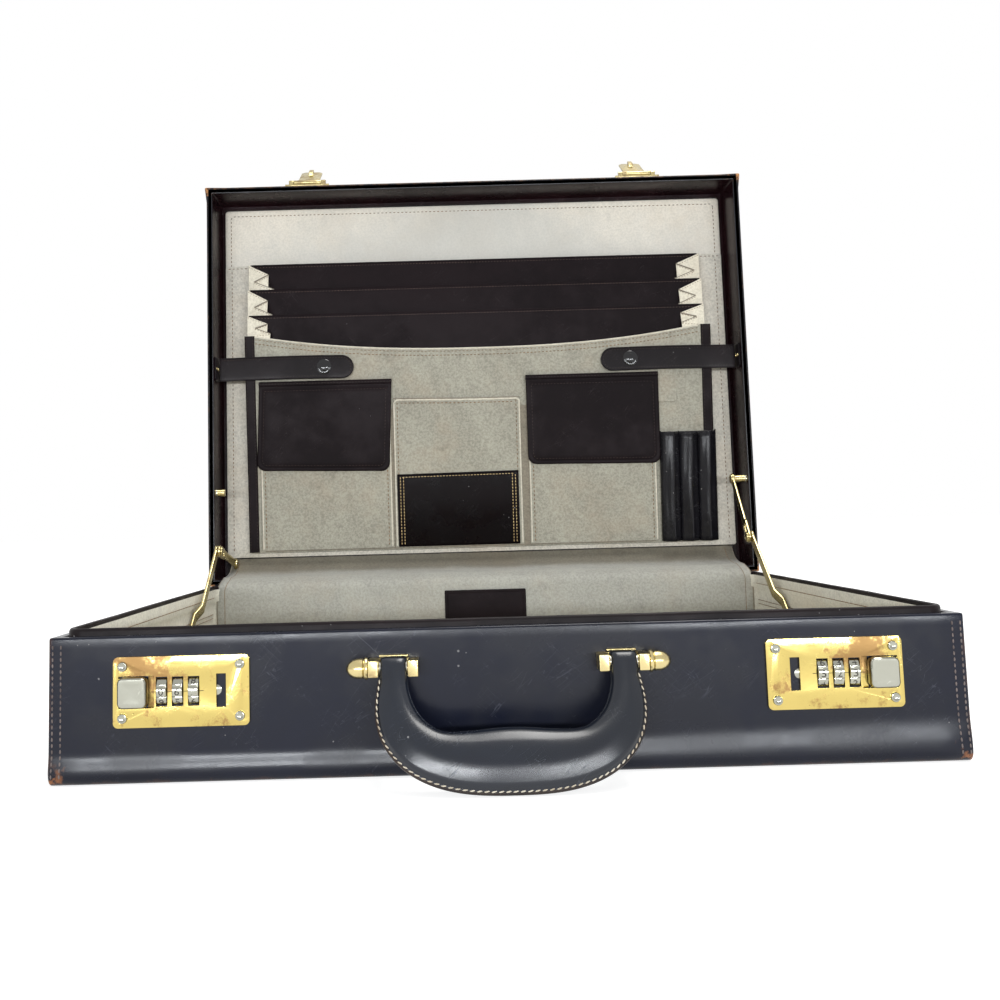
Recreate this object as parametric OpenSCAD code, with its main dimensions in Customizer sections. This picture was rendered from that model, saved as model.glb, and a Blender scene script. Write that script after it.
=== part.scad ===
// Hard-sided leather attache case, open, with an expanding file in its lid.
// Millimetres. X is right, Y is away from the front wall, Z is up.
// The origin is the middle of the tray's underside, where the case stands.

/* [Case] */
// Width of the case, side to side
case_w = 450; // [420:1:480]
// Depth of the case, front wall to hinge wall
case_d = 334; // [320:1:350]
// Height of the tray, underside to rim
tray_h = 71; // [68:1:80]
// Height of the lid, rim to top, when shut
lid_h = 44; // [44:1:50]
// Thickness of the outer leather
leather_t = 1.5; // [1.2:0.1:1.8]
// Thickness of the tray's board
tray_board_t = 3.5; // [3:0.1:4]
// Thickness of the lid's board
lid_board_t = 2.7; // [2.4:0.1:2.9]
// Outer radius of the long edges
edge_r = 10; // [8:0.5:12]
// Gap between the two rims when shut
rim_gap = 0.4; // [0.3:0.1:0.6]

/* [Lining] */
// Thickness of the tray's lined walls
wall_lining_t = 2.5; // [2:0.1:2.8]
// Thickness of the tray's floor lining
floor_lining_t = 1.5; // [1:0.1:2.5]
// Thickness of the lid's dark wall lining
lid_lining_t = 0.6; // [0.5:0.1:0.7]
// Height that the tray's lip stands above the rim
lip_rise = 4; // [3:0.5:6]
// Height of lip below the rim
lip_drop = 8; // [6:0.5:10]
// Thickness of the lip
lip_t = 3.4; // [3:0.1:3.6]
// Gap between the lip and the lid that shuts round it
lip_gap = 0.6; // [0.4:0.1:0.8]
// Outer radius of the lip's corners
lip_corner_r = 9; // [6:0.5:12]
// Width of the leather patch on the rear lining
patch_w = 65; // [50:1:75]
// Height of the leather patch
patch_h = 46; // [36:1:48]
// Thickness of the leather patch
patch_t = 1.2; // [0.8:0.1:1.6]

/* [Piano hinge] */
// Outer radius of the knuckles
knuckle_r = 2.3; // [2:0.1:2.4]
// Radius of the hinge pin
hinge_pin_r = 1; // [0.8:0.1:1.2]
// Distance from the rear wall to the hinge line
hinge_out = 2.6; // [2.5:0.1:3]
// Number of knuckles
knuckles = 17; // [9:2:21]
// Thickness of a leaf
leaf_t = 1; // [0.8:0.1:1.2]
// Height of a leaf, from the hinge line
leaf_h = 14; // [10:1:18]
// Distance from the hinge's end to the case's end
hinge_inset = 7; // [5:1:20]

/* [Locks] */
// Distance from the middle of the case to a lock plate's middle
lock_x = 159.5; // [155:0.5:165]
// Height of the lock plates' middle
lock_z = 44.2; // [43:0.1:46]
// Width of a lock plate
plate_w = 66.5; // [65:0.5:70]
// Height of a lock plate
plate_h = 34; // [33:0.5:38]
// Thickness of a lock plate
plate_t = 1.6; // [1.4:0.1:1.8]
// Corner radius of a lock plate
plate_corner_r = 2.5; // [1.5:0.5:4]
// Width of the lock case behind a plate
lock_case_w = 61; // [60.5:0.1:61.5]
// Height of the lock case
lock_case_h = 29; // [28.6:0.1:29.4]
// Depth of the lock case
lock_case_depth = 16; // [15.5:0.1:17]
// Sheet thickness of the lock case
lock_case_t = 1; // [0.8:0.1:1]
// Radius of a dial wheel
dial_r = 8.6; // [8.4:0.1:8.7]
// Width of a dial wheel
dial_w = 4.9; // [4.6:0.1:5]
// Distance between dial wheels
dial_pitch = 7.8; // [7.6:0.1:8]
// Number of dial wheels in a lock
dials = 3; // [3:1:3]
// Distance that a dial stands out of its plate
dial_out = 1.8; // [1.6:0.1:2]
// Radius of the dial axle
axle_r = 1.2; // [1:0.1:1.5]
// Width of a dial window
window_w = 5.6; // [5.4:0.1:5.8]
// Height of a dial window
window_h = 14.2; // [14:0.1:14.6]
// Width of the slot for the hasp's tongue
slot_w = 4.7; // [4.5:0.1:5]
// Height of the slot for the hasp's tongue
slot_h = 16; // [15:0.5:17]
// Distance from the plate's middle to the slot, towards the case's middle
slot_in = 19.5; // [19:0.1:20]
// Distance from the plate's middle to the middle dial, towards the case's middle
dial_in = -1.7; // [-2:0.1:-1.4]
// Distance from the plate's middle to the button, towards the case's end
button_out = 23.2; // [23:0.1:23.6]
// Width of a lock button
button_w = 14.2; // [13.8:0.1:14.4]
// Height of a lock button
button_h = 14.8; // [14:0.1:15.5]
// Distance that a button stands out of its plate
button_rise = 4.2; // [3:0.1:5]
// Distance that a button slides
button_travel = 2.5; // [2:0.1:2.5]
// Radius of a lock screw's shank
screw_r = 1.4; // [1.2:0.1:1.6]
// Radius of a lock screw's head
screw_head_r = 2.4; // [2.2:0.1:2.6]
// Distance from a plate's edge to its screws
screw_inset = 4.6; // [4.5:0.1:4.8]
// Outer radius of a button spring
spring_r = 1.6; // [1.4:0.1:1.8]

/* [Hasps] */
// Width of a hasp's base
hasp_base_w = 37; // [34:1:40]
// Length of a hasp's base, along the lid wall
hasp_base_l = 14; // [12:1:18]
// Thickness of a hasp's base
hasp_base_t = 1.4; // [1.2:0.1:1.5]
// Width of a hasp's flap at its knuckle
hasp_w = 23; // [21:1:26]
// Width of a hasp's flap at its tip
hasp_tip_w = 18; // [14:1:19]
// Thickness of a hasp's flap
hasp_t = 1.4; // [1.2:0.1:1.6]
// Radius of a hasp's knuckle
hasp_knuckle_r = 2.1; // [2:0.1:2.3]
// Distance from the rim to a hasp's pin
hasp_pin_w = 5; // [4.5:0.1:6]
// Angle that a sprung hasp stands open
hasp_open = 148; // [120:1:155]
// Width of the tongue that enters the lock
tongue_w = 3.6; // [3:0.1:4]
// Height of the tongue
tongue_h = 9; // [8:0.5:11]
// Length of the tongue
tongue_l = 6.2; // [6:0.1:8]

/* [Handle] */
// Distance from the middle of the case to a handle leg
leg_x = 55.5; // [52:0.5:60]
// Height of the handle's pins
handle_z = 53.5; // [53.5:0.5:57]
// Distance from the front wall to the handle's pins
handle_out = 8; // [7.5:0.1:9]
// Drop from the pins to the middle of the grip
grip_drop = 48.5; // [44:0.5:48.5]
// Lean of the resting handle away from the wall
handle_lean = 32; // [32:1:38]
// Width of a leg, in the handle's plane
leg_w = 13; // [11:0.5:14]
// Thickness of a leg
leg_t = 9.6; // [8:0.2:10]
// Width of the grip's middle, in the handle's plane
grip_w = 27; // [20:0.5:27]
// Thickness of the grip's middle
grip_t = 15; // [12:0.5:16]
// Radius of a handle pin
handle_pin_r = 2; // [1.6:0.1:2.2]
// Radius of a handle pin's domed end
dome_r = 4.8; // [4:0.1:5.2]
// Width of a mount's inner block
inner_block_w = 5; // [4.5:0.5:8]
// Width of a mount's outer block
outer_block_w = 5; // [4:0.5:6]
// Height of a mount's plate and blocks
mount_h = 13; // [11:0.5:14]
// Thickness of a mount's back plate
mount_t = 1.5; // [1.2:0.1:1.8]

/* [Lid stays] */
// Distance from the hinge line forward to a stay's tray rivet
stay_tray_y = 103; // [98:1:106]
// Depth of the tray rivets below the hinge line
stay_tray_z = 28; // [26:1:30]
// Distance from the hinge line forward to an open stay's knee
stay_knee_y = 31; // [30:1:32]
// Height of an open stay's knee above the hinge line
stay_knee_z = 32; // [31:1:33]
// Distance from the hinge line into the lid of a stay's stud
stay_stud_w = 7.4; // [7.3:0.1:8]
// Distance from the hinge line along the lid to a stay's stud
stay_stud_v = 79; // [78:1:80]
// Width of a stay's bars
stay_w = 7.5; // [6:0.5:8]
// Thickness of a stay's bars
stay_t = 1.6; // [1.4:0.1:1.8]
// Sideways step in an arm, which clears the lip
stay_step = 4; // [3.5:0.1:4.5]
// Radius of a stay's pins
stay_pin_r = 2; // [1.6:0.1:2.2]
// Angle of the unhooked left link, above level
loose_link_angle = -12; // [-13:1:4]

/* [Organiser] */
// Depth of the organiser board's face below the lid's rim
board_depth = 36; // [35:0.5:37]
// Gap beside the board
board_gap = 3.2; // [2:0.1:4]
// Height of the board's lower edge above the hinge line
board_low = 24; // [22:1:26]
// Distance from the board's upper edge to the lid's front face
board_gap = 9.6; // [8:0.2:14]
// Height of the file's backing
backing_high = 277; // [260:1:290]
// Half of the file's width
file_half_w = 196; // [180:1:200]
// Height of the file's hinge line
file_low = 28; // [26:1:30]
// Height of the rearmost divider's edge
divider_high = 276; // [265:1:280]
// Step down from one divider to the next
divider_step = 23; // [20:1:26]
// Height of the front panel's ends
front_high = 211; // [209:1:213]
// Dip of the front panel's scooped edge
front_dip = 14; // [8:1:18]
// Lean of the front panel
front_lean = 4.8; // [3:0.2:5]
// Thickness of a divider
divider_t = 0.9; // [0.7:0.1:0.9]
// Distance between dividers at the hinge line
divider_pitch = 1; // [1:0.05:1.1]
// Thickness of the front panel
front_t = 1.2; // [1:0.1:1.2]
// Thickness of the gusset cloth
gusset_t = 0.4; // [0.3:0.05:0.5]
// Width of a gusset's inward fold
gusset_fold = 16; // [12:1:20]
// Thickness of the pocket leather
pocket_t = 1; // [0.8:0.1:1.2]
// Height of the pockets' lower edge above the file's hinge line
pocket_low = 1; // [0.5:0.5:3]
// Height of the pocket row's upper edge
pocket_high = 124; // [110:1:128]
// Width of a pocket flap
flap_w = 112; // [100:1:114]
// Length of a pocket flap
flap_l = 73; // [60:1:76]
// Height of a flap's hinge above the file's hinge line
flap_high = 141; // [138:1:142]
// Thickness of a flap
flap_t = 1.2; // [1:0.1:1.4]
// Corner radius of a flap
flap_corner_r = 8; // [4:0.5:12]
// Width of the card pocket
card_w = 102; // [90:1:104]
// Height of the card pocket
card_h = 64; // [50:1:70]
// Height of the pen holder
pen_h = 92; // [80:1:100]
// Width of one pen loop
pen_loop_w = 15.5; // [13:0.5:16]
// Number of pen loops
pen_loops = 3; // [2:1:3]

/* [Straps] */
// Height of the straps' middle above the hinge line
strap_v = 183; // [182.5:0.5:184]
// Width of a strap
strap_w = 20; // [16:0.5:20]
// Length of a strap
strap_l = 113; // [100:1:120]
// Thickness of a strap
strap_t = 2.2; // [1.8:0.1:2.4]
// Distance from a strap's tip to its snap
snap_from_tip = 25; // [20:1:30]
// Radius of a snap's cap
snap_r = 6.2; // [5:0.1:7]

/* [Hidden] */
$fn = 48;
// Thickness of the tray's walls and floor, leather and board together
tray_wall = leather_t + tray_board_t;
// Thickness of the lid's walls, leather and board together
lid_wall = leather_t + lid_board_t;
half_w = case_w / 2;
half_d = case_d / 2;
front_y = -half_d;
hinge_y = half_d + hinge_out;
hinge_z = tray_h + rim_gap / 2;
run = 0.05;
play = 0.3;
seat = 0.2;
eps = 0.01;
// Size of the tray's inside, wall to wall
inner_w = case_w - 2 * tray_wall;
inner_d = case_d - 2 * tray_wall;
// Lip's outer size: the lid's lined inside less the gap
lip_w = case_w - 2 * (lid_wall + lid_lining_t + lip_gap);
lip_d = case_d - 2 * (lid_wall + lid_lining_t + lip_gap);
// Lid places are measured from the hinge line: w into the lid, v along it
rim_w = rim_gap / 2;
lid_rear_v = hinge_out;
lid_front_v = hinge_out + case_d;
board_high = lid_front_v - board_gap;
// Lowest place in the lid that stays clear of the tray's lip
rim_clear = tray_h + lip_rise - hinge_z + 0.6;
lid_inner_w = rim_w + lid_h - lid_wall;
board_face = board_depth;
backing_t = 1.4;
backing_face = board_face - backing_t;
board_half_w = half_w - lid_wall - lid_lining_t - board_gap;
// Lock depths
plate_front = front_y - plate_t;
case_back = front_y + lock_case_depth;
dial_y = plate_front - dial_out + dial_r;
slot_x = lock_x - slot_in;
axle_half = dial_pitch * (dials - 1) / 2 + dial_w / 2 + 1.4;
rib_t = 1;
case_hole = 0.2;
// Latch bar and nose, below and beside the dials
latch_bar_h = 2.4;
latch_bar_y = front_y + 2;
latch_bar_t = 3;
latch_z = lock_z - lock_case_h / 2 + lock_case_t + 0.5;
nose_l = 1.5;
nose_h = 6;
// Spring between a button's shank and the case's end
shank_w = 6;
// Handle
handle_y = front_y - handle_out;
leg_gap = 0.6;
inner_block_x = leg_x - leg_w / 2 - leg_gap - inner_block_w;
outer_block_x = leg_x + leg_w / 2 + leg_gap;
dome_l = 9;
grip_power = 2.8;
// Hasp pin, from the hinge line
hasp_pin_v = lid_front_v + hasp_base_t + hasp_knuckle_r + play;
hasp_reach = hasp_pin_w + hinge_z - lock_z + tongue_h / 2 + 4;
hasp_tongue = hasp_pin_w + hinge_z - lock_z;
// Stay planes, from the middle of the case
lip_inner_x = lip_w / 2 - lip_t;
arm_x = lip_inner_x - 0.4 - stay_t;
arm_upper_x = arm_x - stay_step;
link_x = arm_upper_x - 0.8 - stay_t;
arm_l = norm([stay_tray_y - stay_knee_y, stay_tray_z + stay_knee_z]);
arm_angle = atan2(stay_tray_z + stay_knee_z, stay_tray_y - stay_knee_y);
link_l = norm([stay_knee_y + stay_stud_w, stay_stud_v - stay_knee_z]);
link_angle = atan2(stay_stud_v - stay_knee_z, stay_knee_y + stay_stud_w);
eye_r = stay_w / 2 + 0.8;
slot_l = 12;
step_start = 22;
step_end = 31;
// File panels, rear to front; the front panel is the last
panels = 4;
panel_base = backing_face - play;
function panel_w(i) = panel_base - divider_t - i * divider_pitch - (i == panels - 1 ? front_t - divider_t : 0);
function panel_lean(i) = front_lean * (i + 1) / panels;
function panel_top(i) = (i == panels - 1 ? front_high : divider_high - i * divider_step) - file_low;
// Straps lie on the leaning front panel
strap_face = panel_w(panels - 1) - (strap_v - strap_w / 2 - file_low) * tan(front_lean) * 0.999;
strap_back = panel_w(panels - 1) - (strap_v + strap_w / 2 - file_low) * tan(front_lean) - play;
strap_root = half_w - lid_wall - lid_lining_t - 2.6;
// Pockets along the front panel, from the middle of the case
left_pocket_u = [-185, -75];
middle_pocket_u = [-72, 35];
right_pocket_u = [42, 149];
flap_u = [-129, 96.5];
card_u = -19;
pen_u = 153;

hide = [0.13, 0.12, 0.14];
hide_edge = [0.2, 0.14, 0.12];
suede = [0.8, 0.77, 0.69];
brass = [0.8, 0.64, 0.3];
steel = [0.72, 0.72, 0.7];
board = [0.5, 0.38, 0.26];

// Helpers

// Block between two corners.
module block(low, high) {
  translate(low) cube(high - low);
}

// The same shape on the left and on the right.
module both_sides() {
  children();
  mirror([1, 0, 0]) children();
}

// Outline in Y and Z, carried along X over the length and centred on it.
module along_x(length) {
  translate([-length / 2, 0, 0]) rotate([90, 0, 90]) linear_extrude(length) children();
}

// Round bar along X from x, with its axis through y and z.
module rod_x(x, y, z, length, r) {
  translate([x, y, z]) rotate([0, 90, 0]) cylinder(h = length, r = r);
}

// Round bar along Y from y, with its axis through x and z.
module rod_y(x, y, z, length, r) {
  translate([x, y, z]) rotate([-90, 0, 0]) cylinder(h = length, r = r);
}

// Rectangle with four round corners, about its middle.
module round_rect(w, h, r) {
  square([w - 2 * r, h], center = true);
  square([w, h - 2 * r], center = true);
  for (x = [-1, 1], y = [-1, 1]) translate([x * (w / 2 - r), y * (h / 2 - r)]) circle(r);
}

// Trough section with two round lower corners.
module trough(d, h, r) {
  translate([-d / 2, r]) square([d, h - r]);
  translate([-d / 2 + r, 0]) square([d - 2 * r, h]);
  for (s = [-1, 1]) translate([s * (d / 2 - r), r]) circle(r);
}

// Lid section, open towards its rim, with two round corners on its far side.
module lid_section(h, d, r) {
  square([h - r, d]);
  translate([0, r]) square([h, d - 2 * r]);
  for (s = [r, d - r]) translate([h - r, s]) circle(r);
}

// Frame of the lid: origin on the hinge line, Y into the lid, Z along it.
module on_lid() {
  translate([0, hinge_y, hinge_z]) children();
}

// Tray

// Places a lock's pieces, mirrored for the right side so that +X runs inward.
module at_lock(side) {
  if (side < 0) translate([-lock_x, 0, lock_z]) children();
  else translate([lock_x, 0, lock_z]) mirror([1, 0, 0]) children();
}

// Rectangular opening through the front wall for a lock case.
module lock_openings() {
  for (side = [-1, 1]) at_lock(side)
    block([-lock_case_w / 2 - case_hole, front_y - 1, -lock_case_h / 2 - case_hole],
          [lock_case_w / 2 + case_hole, front_y + tray_wall + wall_lining_t + 1, lock_case_h / 2 + case_hole]);
}

module screw_places() {
  for (side = [-1, 1], x = [-1, 1], z = [-1, 1])
    at_lock(side) translate([x * (plate_w / 2 - screw_inset), 0, z * (plate_h / 2 - screw_inset)]) children();
}

module screw_holes() {
  screw_places() rod_y(0, front_y - plate_t - 1, 0, tray_wall + plate_t + 1, screw_r + run);
}

// Holes for the shanks of the handle mounts.
module mount_holes() {
  both_sides() for (x = [inner_block_x + inner_block_w / 2, outer_block_x + outer_block_w / 2])
    rod_y(x, front_y - 1, handle_z, tray_wall + 2, handle_pin_r + run);
}

module tray_frame() {
  color(board) difference() {
    along_x(case_w - 2 * leather_t)
      translate([0, leather_t]) trough(case_d - 2 * leather_t, tray_h - leather_t, edge_r - leather_t);
    block([-inner_w / 2, -inner_d / 2, tray_wall], [inner_w / 2, inner_d / 2, tray_h + 1]);
    lock_openings();
    screw_holes();
    mount_holes();
  }
}

module tray_cover() {
  color(hide) difference() {
    along_x(case_w) difference() {
      trough(case_d, tray_h, edge_r);
      translate([0, leather_t]) trough(case_d - 2 * leather_t, tray_h, edge_r - leather_t);
    }
    lock_openings();
    screw_holes();
    mount_holes();
  }
}

module tray_end_panels() {
  color(hide) both_sides() translate([half_w - leather_t / 2, 0, leather_t])
    along_x(leather_t) trough(case_d - 2 * leather_t, tray_h - leather_t, edge_r - leather_t);
}

module tray_lip() {
  color(hide_edge) translate([0, 0, tray_h - lip_drop]) linear_extrude(lip_drop + lip_rise) difference() {
    round_rect(lip_w, lip_d, lip_corner_r);
    round_rect(lip_w - 2 * lip_t, lip_d - 2 * lip_t, lip_corner_r - lip_t);
  }
}

module tray_lining() {
  color(suede) difference() {
    block([-inner_w / 2, -inner_d / 2, tray_wall], [inner_w / 2, inner_d / 2, tray_h - lip_drop]);
    block([-inner_w / 2 + wall_lining_t, -inner_d / 2 + wall_lining_t, tray_wall - 1],
          [inner_w / 2 - wall_lining_t, inner_d / 2 - wall_lining_t, tray_h]);
    lock_openings();
  }
}

module tray_floor_lining() {
  color(suede) block(
    [-inner_w / 2 + wall_lining_t, -inner_d / 2 + wall_lining_t, tray_wall],
    [inner_w / 2 - wall_lining_t, inner_d / 2 - wall_lining_t, tray_wall + floor_lining_t]);
}

module leather_patch() {
  color(hide) translate([0, inner_d / 2 - wall_lining_t, tray_h - 8.2 - patch_h / 2])
    rotate([90, 0, 0]) linear_extrude(patch_t) round_rect(patch_w, patch_h, 1);
}

// Piano hinge

hinge_l = case_w - 2 * hinge_inset;
knuckle_l = hinge_l / knuckles;

// Knuckles of one leaf: every second one, each with its own strip of leaf.
module knuckle_row(first) {
  for (i = [first:2:knuckles - 1]) {
    x = -hinge_l / 2 + i * knuckle_l + play / 2;
    difference() {
      union() {
        rod_x(x, 0, 0, knuckle_l - play, knuckle_r);
        block([x, 0, hinge_out - leaf_t], [x + knuckle_l - play, knuckle_r + play, hinge_out]);
        intersection() {
          block([x, 0, 0], [x + knuckle_l - play, knuckle_r, hinge_out]);
          rod_x(x, 0, 0, knuckle_l - play, hinge_out);
        }
      }
      rod_x(x - 1, 0, 0, knuckle_l + 2, hinge_pin_r + run);
    }
  }
}

module hinge_leaf_upper() {
  color(brass) on_lid() {
    block([-hinge_l / 2, knuckle_r + play, hinge_out - leaf_t], [hinge_l / 2, leaf_h, hinge_out]);
    knuckle_row(1);
  }
}

// The lower leaf is the upper one turned onto the tray's rear wall.
module hinge_leaf_lower() {
  color(brass) on_lid() mirror([0, 1, 0]) rotate([-90, 0, 0]) mirror([0, 1, 0]) {
    block([-hinge_l / 2, -leaf_h, hinge_out - leaf_t], [hinge_l / 2, -knuckle_r - play, hinge_out]);
    mirror([0, 1, 0]) knuckle_row(0);
  }
}

module hinge_pin() {
  color(steel) on_lid() rod_x(-hinge_l / 2, 0, 0, hinge_l, hinge_pin_r);
}

// Locks

module lock_plates() {
  color(brass) difference() {
    for (side = [-1, 1]) at_lock(side) difference() {
      translate([0, front_y, 0]) rotate([90, 0, 0]) linear_extrude(plate_t) round_rect(plate_w, plate_h, plate_corner_r);
      for (i = [0:dials - 1])
        block([dial_place(i) - window_w / 2, plate_front - 1, -window_h / 2],
              [dial_place(i) + window_w / 2, front_y + 1, window_h / 2]);
      block([slot_in - slot_w / 2, plate_front - 1, -slot_h / 2], [slot_in + slot_w / 2, front_y + 1, slot_h / 2]);
      block([-button_out - button_w / 2 - play, plate_front - 1, -button_h / 2 - play],
            [-button_out + button_w / 2 + button_travel + play, front_y + 1, button_h / 2 + play]);
    }
    screw_holes();
  }
}

// Place of a dial from the plate's middle, counted from the outer end.
function dial_place(i) = dial_in + (i - (dials - 1) / 2) * dial_pitch;

// Open box of sheet steel, with two ribs for the dial axle and a boss for each screw.
module lock_cases() {
  color(steel) for (side = [-1, 1]) at_lock(side) {
    difference() {
      block([-lock_case_w / 2, front_y, -lock_case_h / 2], [lock_case_w / 2, case_back, lock_case_h / 2]);
      difference() {
        block([-lock_case_w / 2 + lock_case_t, front_y - 1, -lock_case_h / 2 + lock_case_t],
              [lock_case_w / 2 - lock_case_t, case_back - lock_case_t, lock_case_h / 2 - lock_case_t]);
        for (x = [-1, 1], z = [-1, 1])
          block([x * (lock_case_w / 2 - 2.5) - 2.5, front_y - 2, z * (lock_case_h / 2 - 2.5) - 2.5],
                [x * (lock_case_w / 2 - 2.5) + 2.5, front_y + 6, z * (lock_case_h / 2 - 2.5) + 2.5]);
      }
      for (x = [-1, 1], z = [-1, 1])
        rod_y(x * (plate_w / 2 - screw_inset), front_y - 1, z * (plate_h / 2 - screw_inset), tray_wall + 1, screw_r + run);
    }
    for (x = [dial_in - axle_half - rib_t, dial_in + axle_half]) difference() {
      block([x, dial_y - 3, latch_z + latch_bar_h + 1 - lock_z],
            [x + rib_t, case_back - lock_case_t, lock_case_h / 2 - lock_case_t]);
      rod_x(x - 1, dial_y, 0, rib_t + 2, axle_r + run);
    }
  }
}

module lock_screws() {
  color(steel) screw_places() {
    rod_y(0, plate_front - 0.9, 0, 0.9, screw_head_r);
    rod_y(0, plate_front, 0, plate_t + tray_wall - 1, screw_r);
  }
}

module dial_axles() {
  color(steel) for (side = [-1, 1]) at_lock(side)
    rod_x(dial_in - axle_half - rib_t, dial_y, 0, 2 * axle_half + 2 * rib_t, axle_r);
}

// Wheel with a notch between each two of its ten figures.
module dial(side, i) {
  notch_r = 0.5;
  figures = 10;
  color(steel) at_lock(side) difference() {
    rod_x(dial_place(i) - dial_w / 2, dial_y, 0, dial_w, dial_r);
    rod_x(dial_place(i) - dial_w / 2 - 1, dial_y, 0, dial_w + 2, axle_r + run);
    for (k = [0:figures - 1]) {
      turn = (k + 0.5) * 360 / figures;
      rod_x(dial_place(i) - dial_w / 2 - 1, dial_y + dial_r * cos(turn), dial_r * sin(turn), dial_w + 2, notch_r);
    }
  }
}

// Square slide button with a shank that reaches into the case.
module lock_button(side) {
  color(steel) at_lock(side) {
    block([-button_out - button_w / 2, plate_front - button_rise, -button_h / 2],
          [-button_out + button_w / 2, front_y - run, button_h / 2]);
    block([-button_out - shank_w / 2, front_y - run, -shank_w / 2],
          [-button_out + shank_w / 2, front_y + 9, shank_w / 2]);
  }
}

// Spring that pushes the button back to the outer end of its opening.
module button_spring(side) {
  x = -button_out + shank_w / 2;
  color(steel) at_lock(side) difference() {
    rod_x(x, front_y + 6, 0, dial_in - axle_half - rib_t - x, spring_r);
    rod_x(x - 1, front_y + 6, 0, 20, spring_r / 2);
  }
}

// Slide behind the plate, whose nose catches the hasp's tongue in the slot.
module latch(side) {
  x = slot_in - slot_w / 2 - 1.6;
  z = latch_z - lock_z;
  color(steel) at_lock(side) {
    block([-button_out + 0.6, latch_bar_y, z], [x, latch_bar_y + latch_bar_t, z + latch_bar_h]);
    block([x - 1.6, latch_bar_y, z], [x, latch_bar_y + latch_bar_t, nose_h / 2]);
    block([x, latch_bar_y, -nose_h / 2], [x + 1.6 + nose_l, latch_bar_y + latch_bar_t, nose_h / 2]);
  }
}

// Handle

// Frame of the handle: origin on its pins, the grip hanging along -Z.
module on_handle() {
  translate([0, handle_y, handle_z]) rotate([-handle_lean, 0, 0]) children();
}

module handle_mounts() {
  block_front = handle_y - handle_pin_r - 2;
  block_h = handle_pin_r + 2;
  color(brass) both_sides() difference() {
    union() {
      block([inner_block_x, front_y - mount_t, handle_z - mount_h / 2],
            [outer_block_x + outer_block_w, front_y, handle_z + mount_h / 2]);
      for (b = [[inner_block_x, inner_block_w], [outer_block_x, outer_block_w]]) {
        block([b[0], block_front, handle_z - block_h], [b[0] + b[1], front_y - mount_t + eps, handle_z + block_h]);
        rod_y(b[0] + b[1] / 2, front_y - eps, handle_z, tray_wall + eps, handle_pin_r);
      }
    }
    rod_x(inner_block_x - 1, handle_y, handle_z, outer_block_x + outer_block_w - inner_block_x + 2, handle_pin_r + run);
  }
}

// Pins with a domed outer end, which stands on its own shoulder.
module handle_pins() {
  x = outer_block_x + outer_block_w;
  color(brass) both_sides() {
    rod_x(inner_block_x, handle_y, handle_z, x - inner_block_x + 0.5, handle_pin_r);
    translate([x, handle_y, handle_z]) rotate([0, 90, 0]) rotate_extrude() intersection() {
      union() {
        square([dome_r - 0.7, dome_l - dome_r]);
        translate([0, dome_l - dome_r]) circle(dome_r);
      }
      square([dome_r, dome_l]);
    }
  }
}

// Middle line of the handle: a flattened half hoop between its two legs.
leg_drop = 7;
grip_rings = 36;
grip_sides = 16;
function hoop_t(k) = 180 * k / grip_rings;
function hoop_x(t) = -leg_x * sign(cos(t)) * pow(abs(cos(t)), 2 / grip_power);
function hoop_s(t) = leg_drop + (grip_drop - leg_drop) * pow(abs(sin(t)), 2 / grip_power);
function hoop(t) = [hoop_x(t), -hoop_s(t)];
function hoop_dir(t) = let (d = hoop(min(180, t + 1)) - hoop(max(0, t - 1))) d / norm(d);
// Share of the way from a leg to the middle of the grip
function grip_share(t) = pow(sin(t), 0.6);
function grip_ring(t, inset) = let (
    d = hoop_dir(t),
    n = [d[1], -d[0]],
    a = (leg_w + (grip_w - leg_w) * grip_share(t)) / 2 - inset,
    b = (leg_t + (grip_t - leg_t) * grip_share(t)) / 2 - inset
  ) [for (j = [0:grip_sides - 1]) let (q = 360 * j / grip_sides)
      [hoop(t)[0] + n[0] * a * cos(q), b * sin(q), hoop(t)[1] + n[1] * a * cos(q)]];

// Closed tube through rings of equal size, with flat ends.
module ring_tube(rings) {
  n = len(rings[0]);
  m = len(rings);
  points = [for (r = rings) each r];
  sides = [for (i = [0:m - 2], j = [0:n - 1]) let (
      a = i * n + j,
      b = i * n + (j + 1) % n
    ) each [[a, b + n, b], [a, a + n, b + n]]];
  first = [for (j = [1:n - 2]) [0, j, j + 1]];
  last = [for (j = [1:n - 2]) [(m - 1) * n, (m - 1) * n + j + 1, (m - 1) * n + j]];
  polyhedron(points = points, faces = concat(sides, first, last));
}

// Leather grip: the swept hoop, and above each of its ends a loop of leather round a pin.
module handle_grip() {
  color(hide) on_handle() {
    ring_tube([for (k = [0:grip_rings]) grip_ring(hoop_t(k), 0)]);
    both_sides() translate([leg_x, 0, 0]) along_x(leg_w) difference() {
      union() {
        circle(leg_t / 2);
        translate([-leg_t / 2, -leg_drop + run]) square([leg_t, leg_drop - run]);
      }
      circle(handle_pin_r + 1 + run);
    }
  }
}

// Steel eye in each leather loop, which turns on the pin.
module handle_core() {
  color(steel) on_handle() both_sides() difference() {
    rod_x(leg_x - leg_w / 2, 0, 0, leg_w, handle_pin_r + 1);
    rod_x(leg_x - leg_w / 2 - 1, 0, 0, leg_w + 2, handle_pin_r + run);
  }
}

// Lid

module lid_frame() {
  d = case_d - 2 * leather_t;
  color(board) on_lid() difference() {
    along_x(case_w - 2 * leather_t) translate([rim_w, lid_rear_v + leather_t])
      lid_section(lid_h - leather_t, d, edge_r - leather_t);
    block([-half_w + lid_wall, rim_w - 1, lid_rear_v + lid_wall], [half_w - lid_wall, lid_inner_w, lid_front_v - lid_wall]);
  }
}

module lid_cover() {
  color(hide) on_lid() along_x(case_w) translate([rim_w, lid_rear_v]) difference() {
    lid_section(lid_h, case_d, edge_r);
    translate([-1, leather_t]) lid_section(lid_h - leather_t + 1, case_d - 2 * leather_t, edge_r - leather_t);
  }
}

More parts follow.
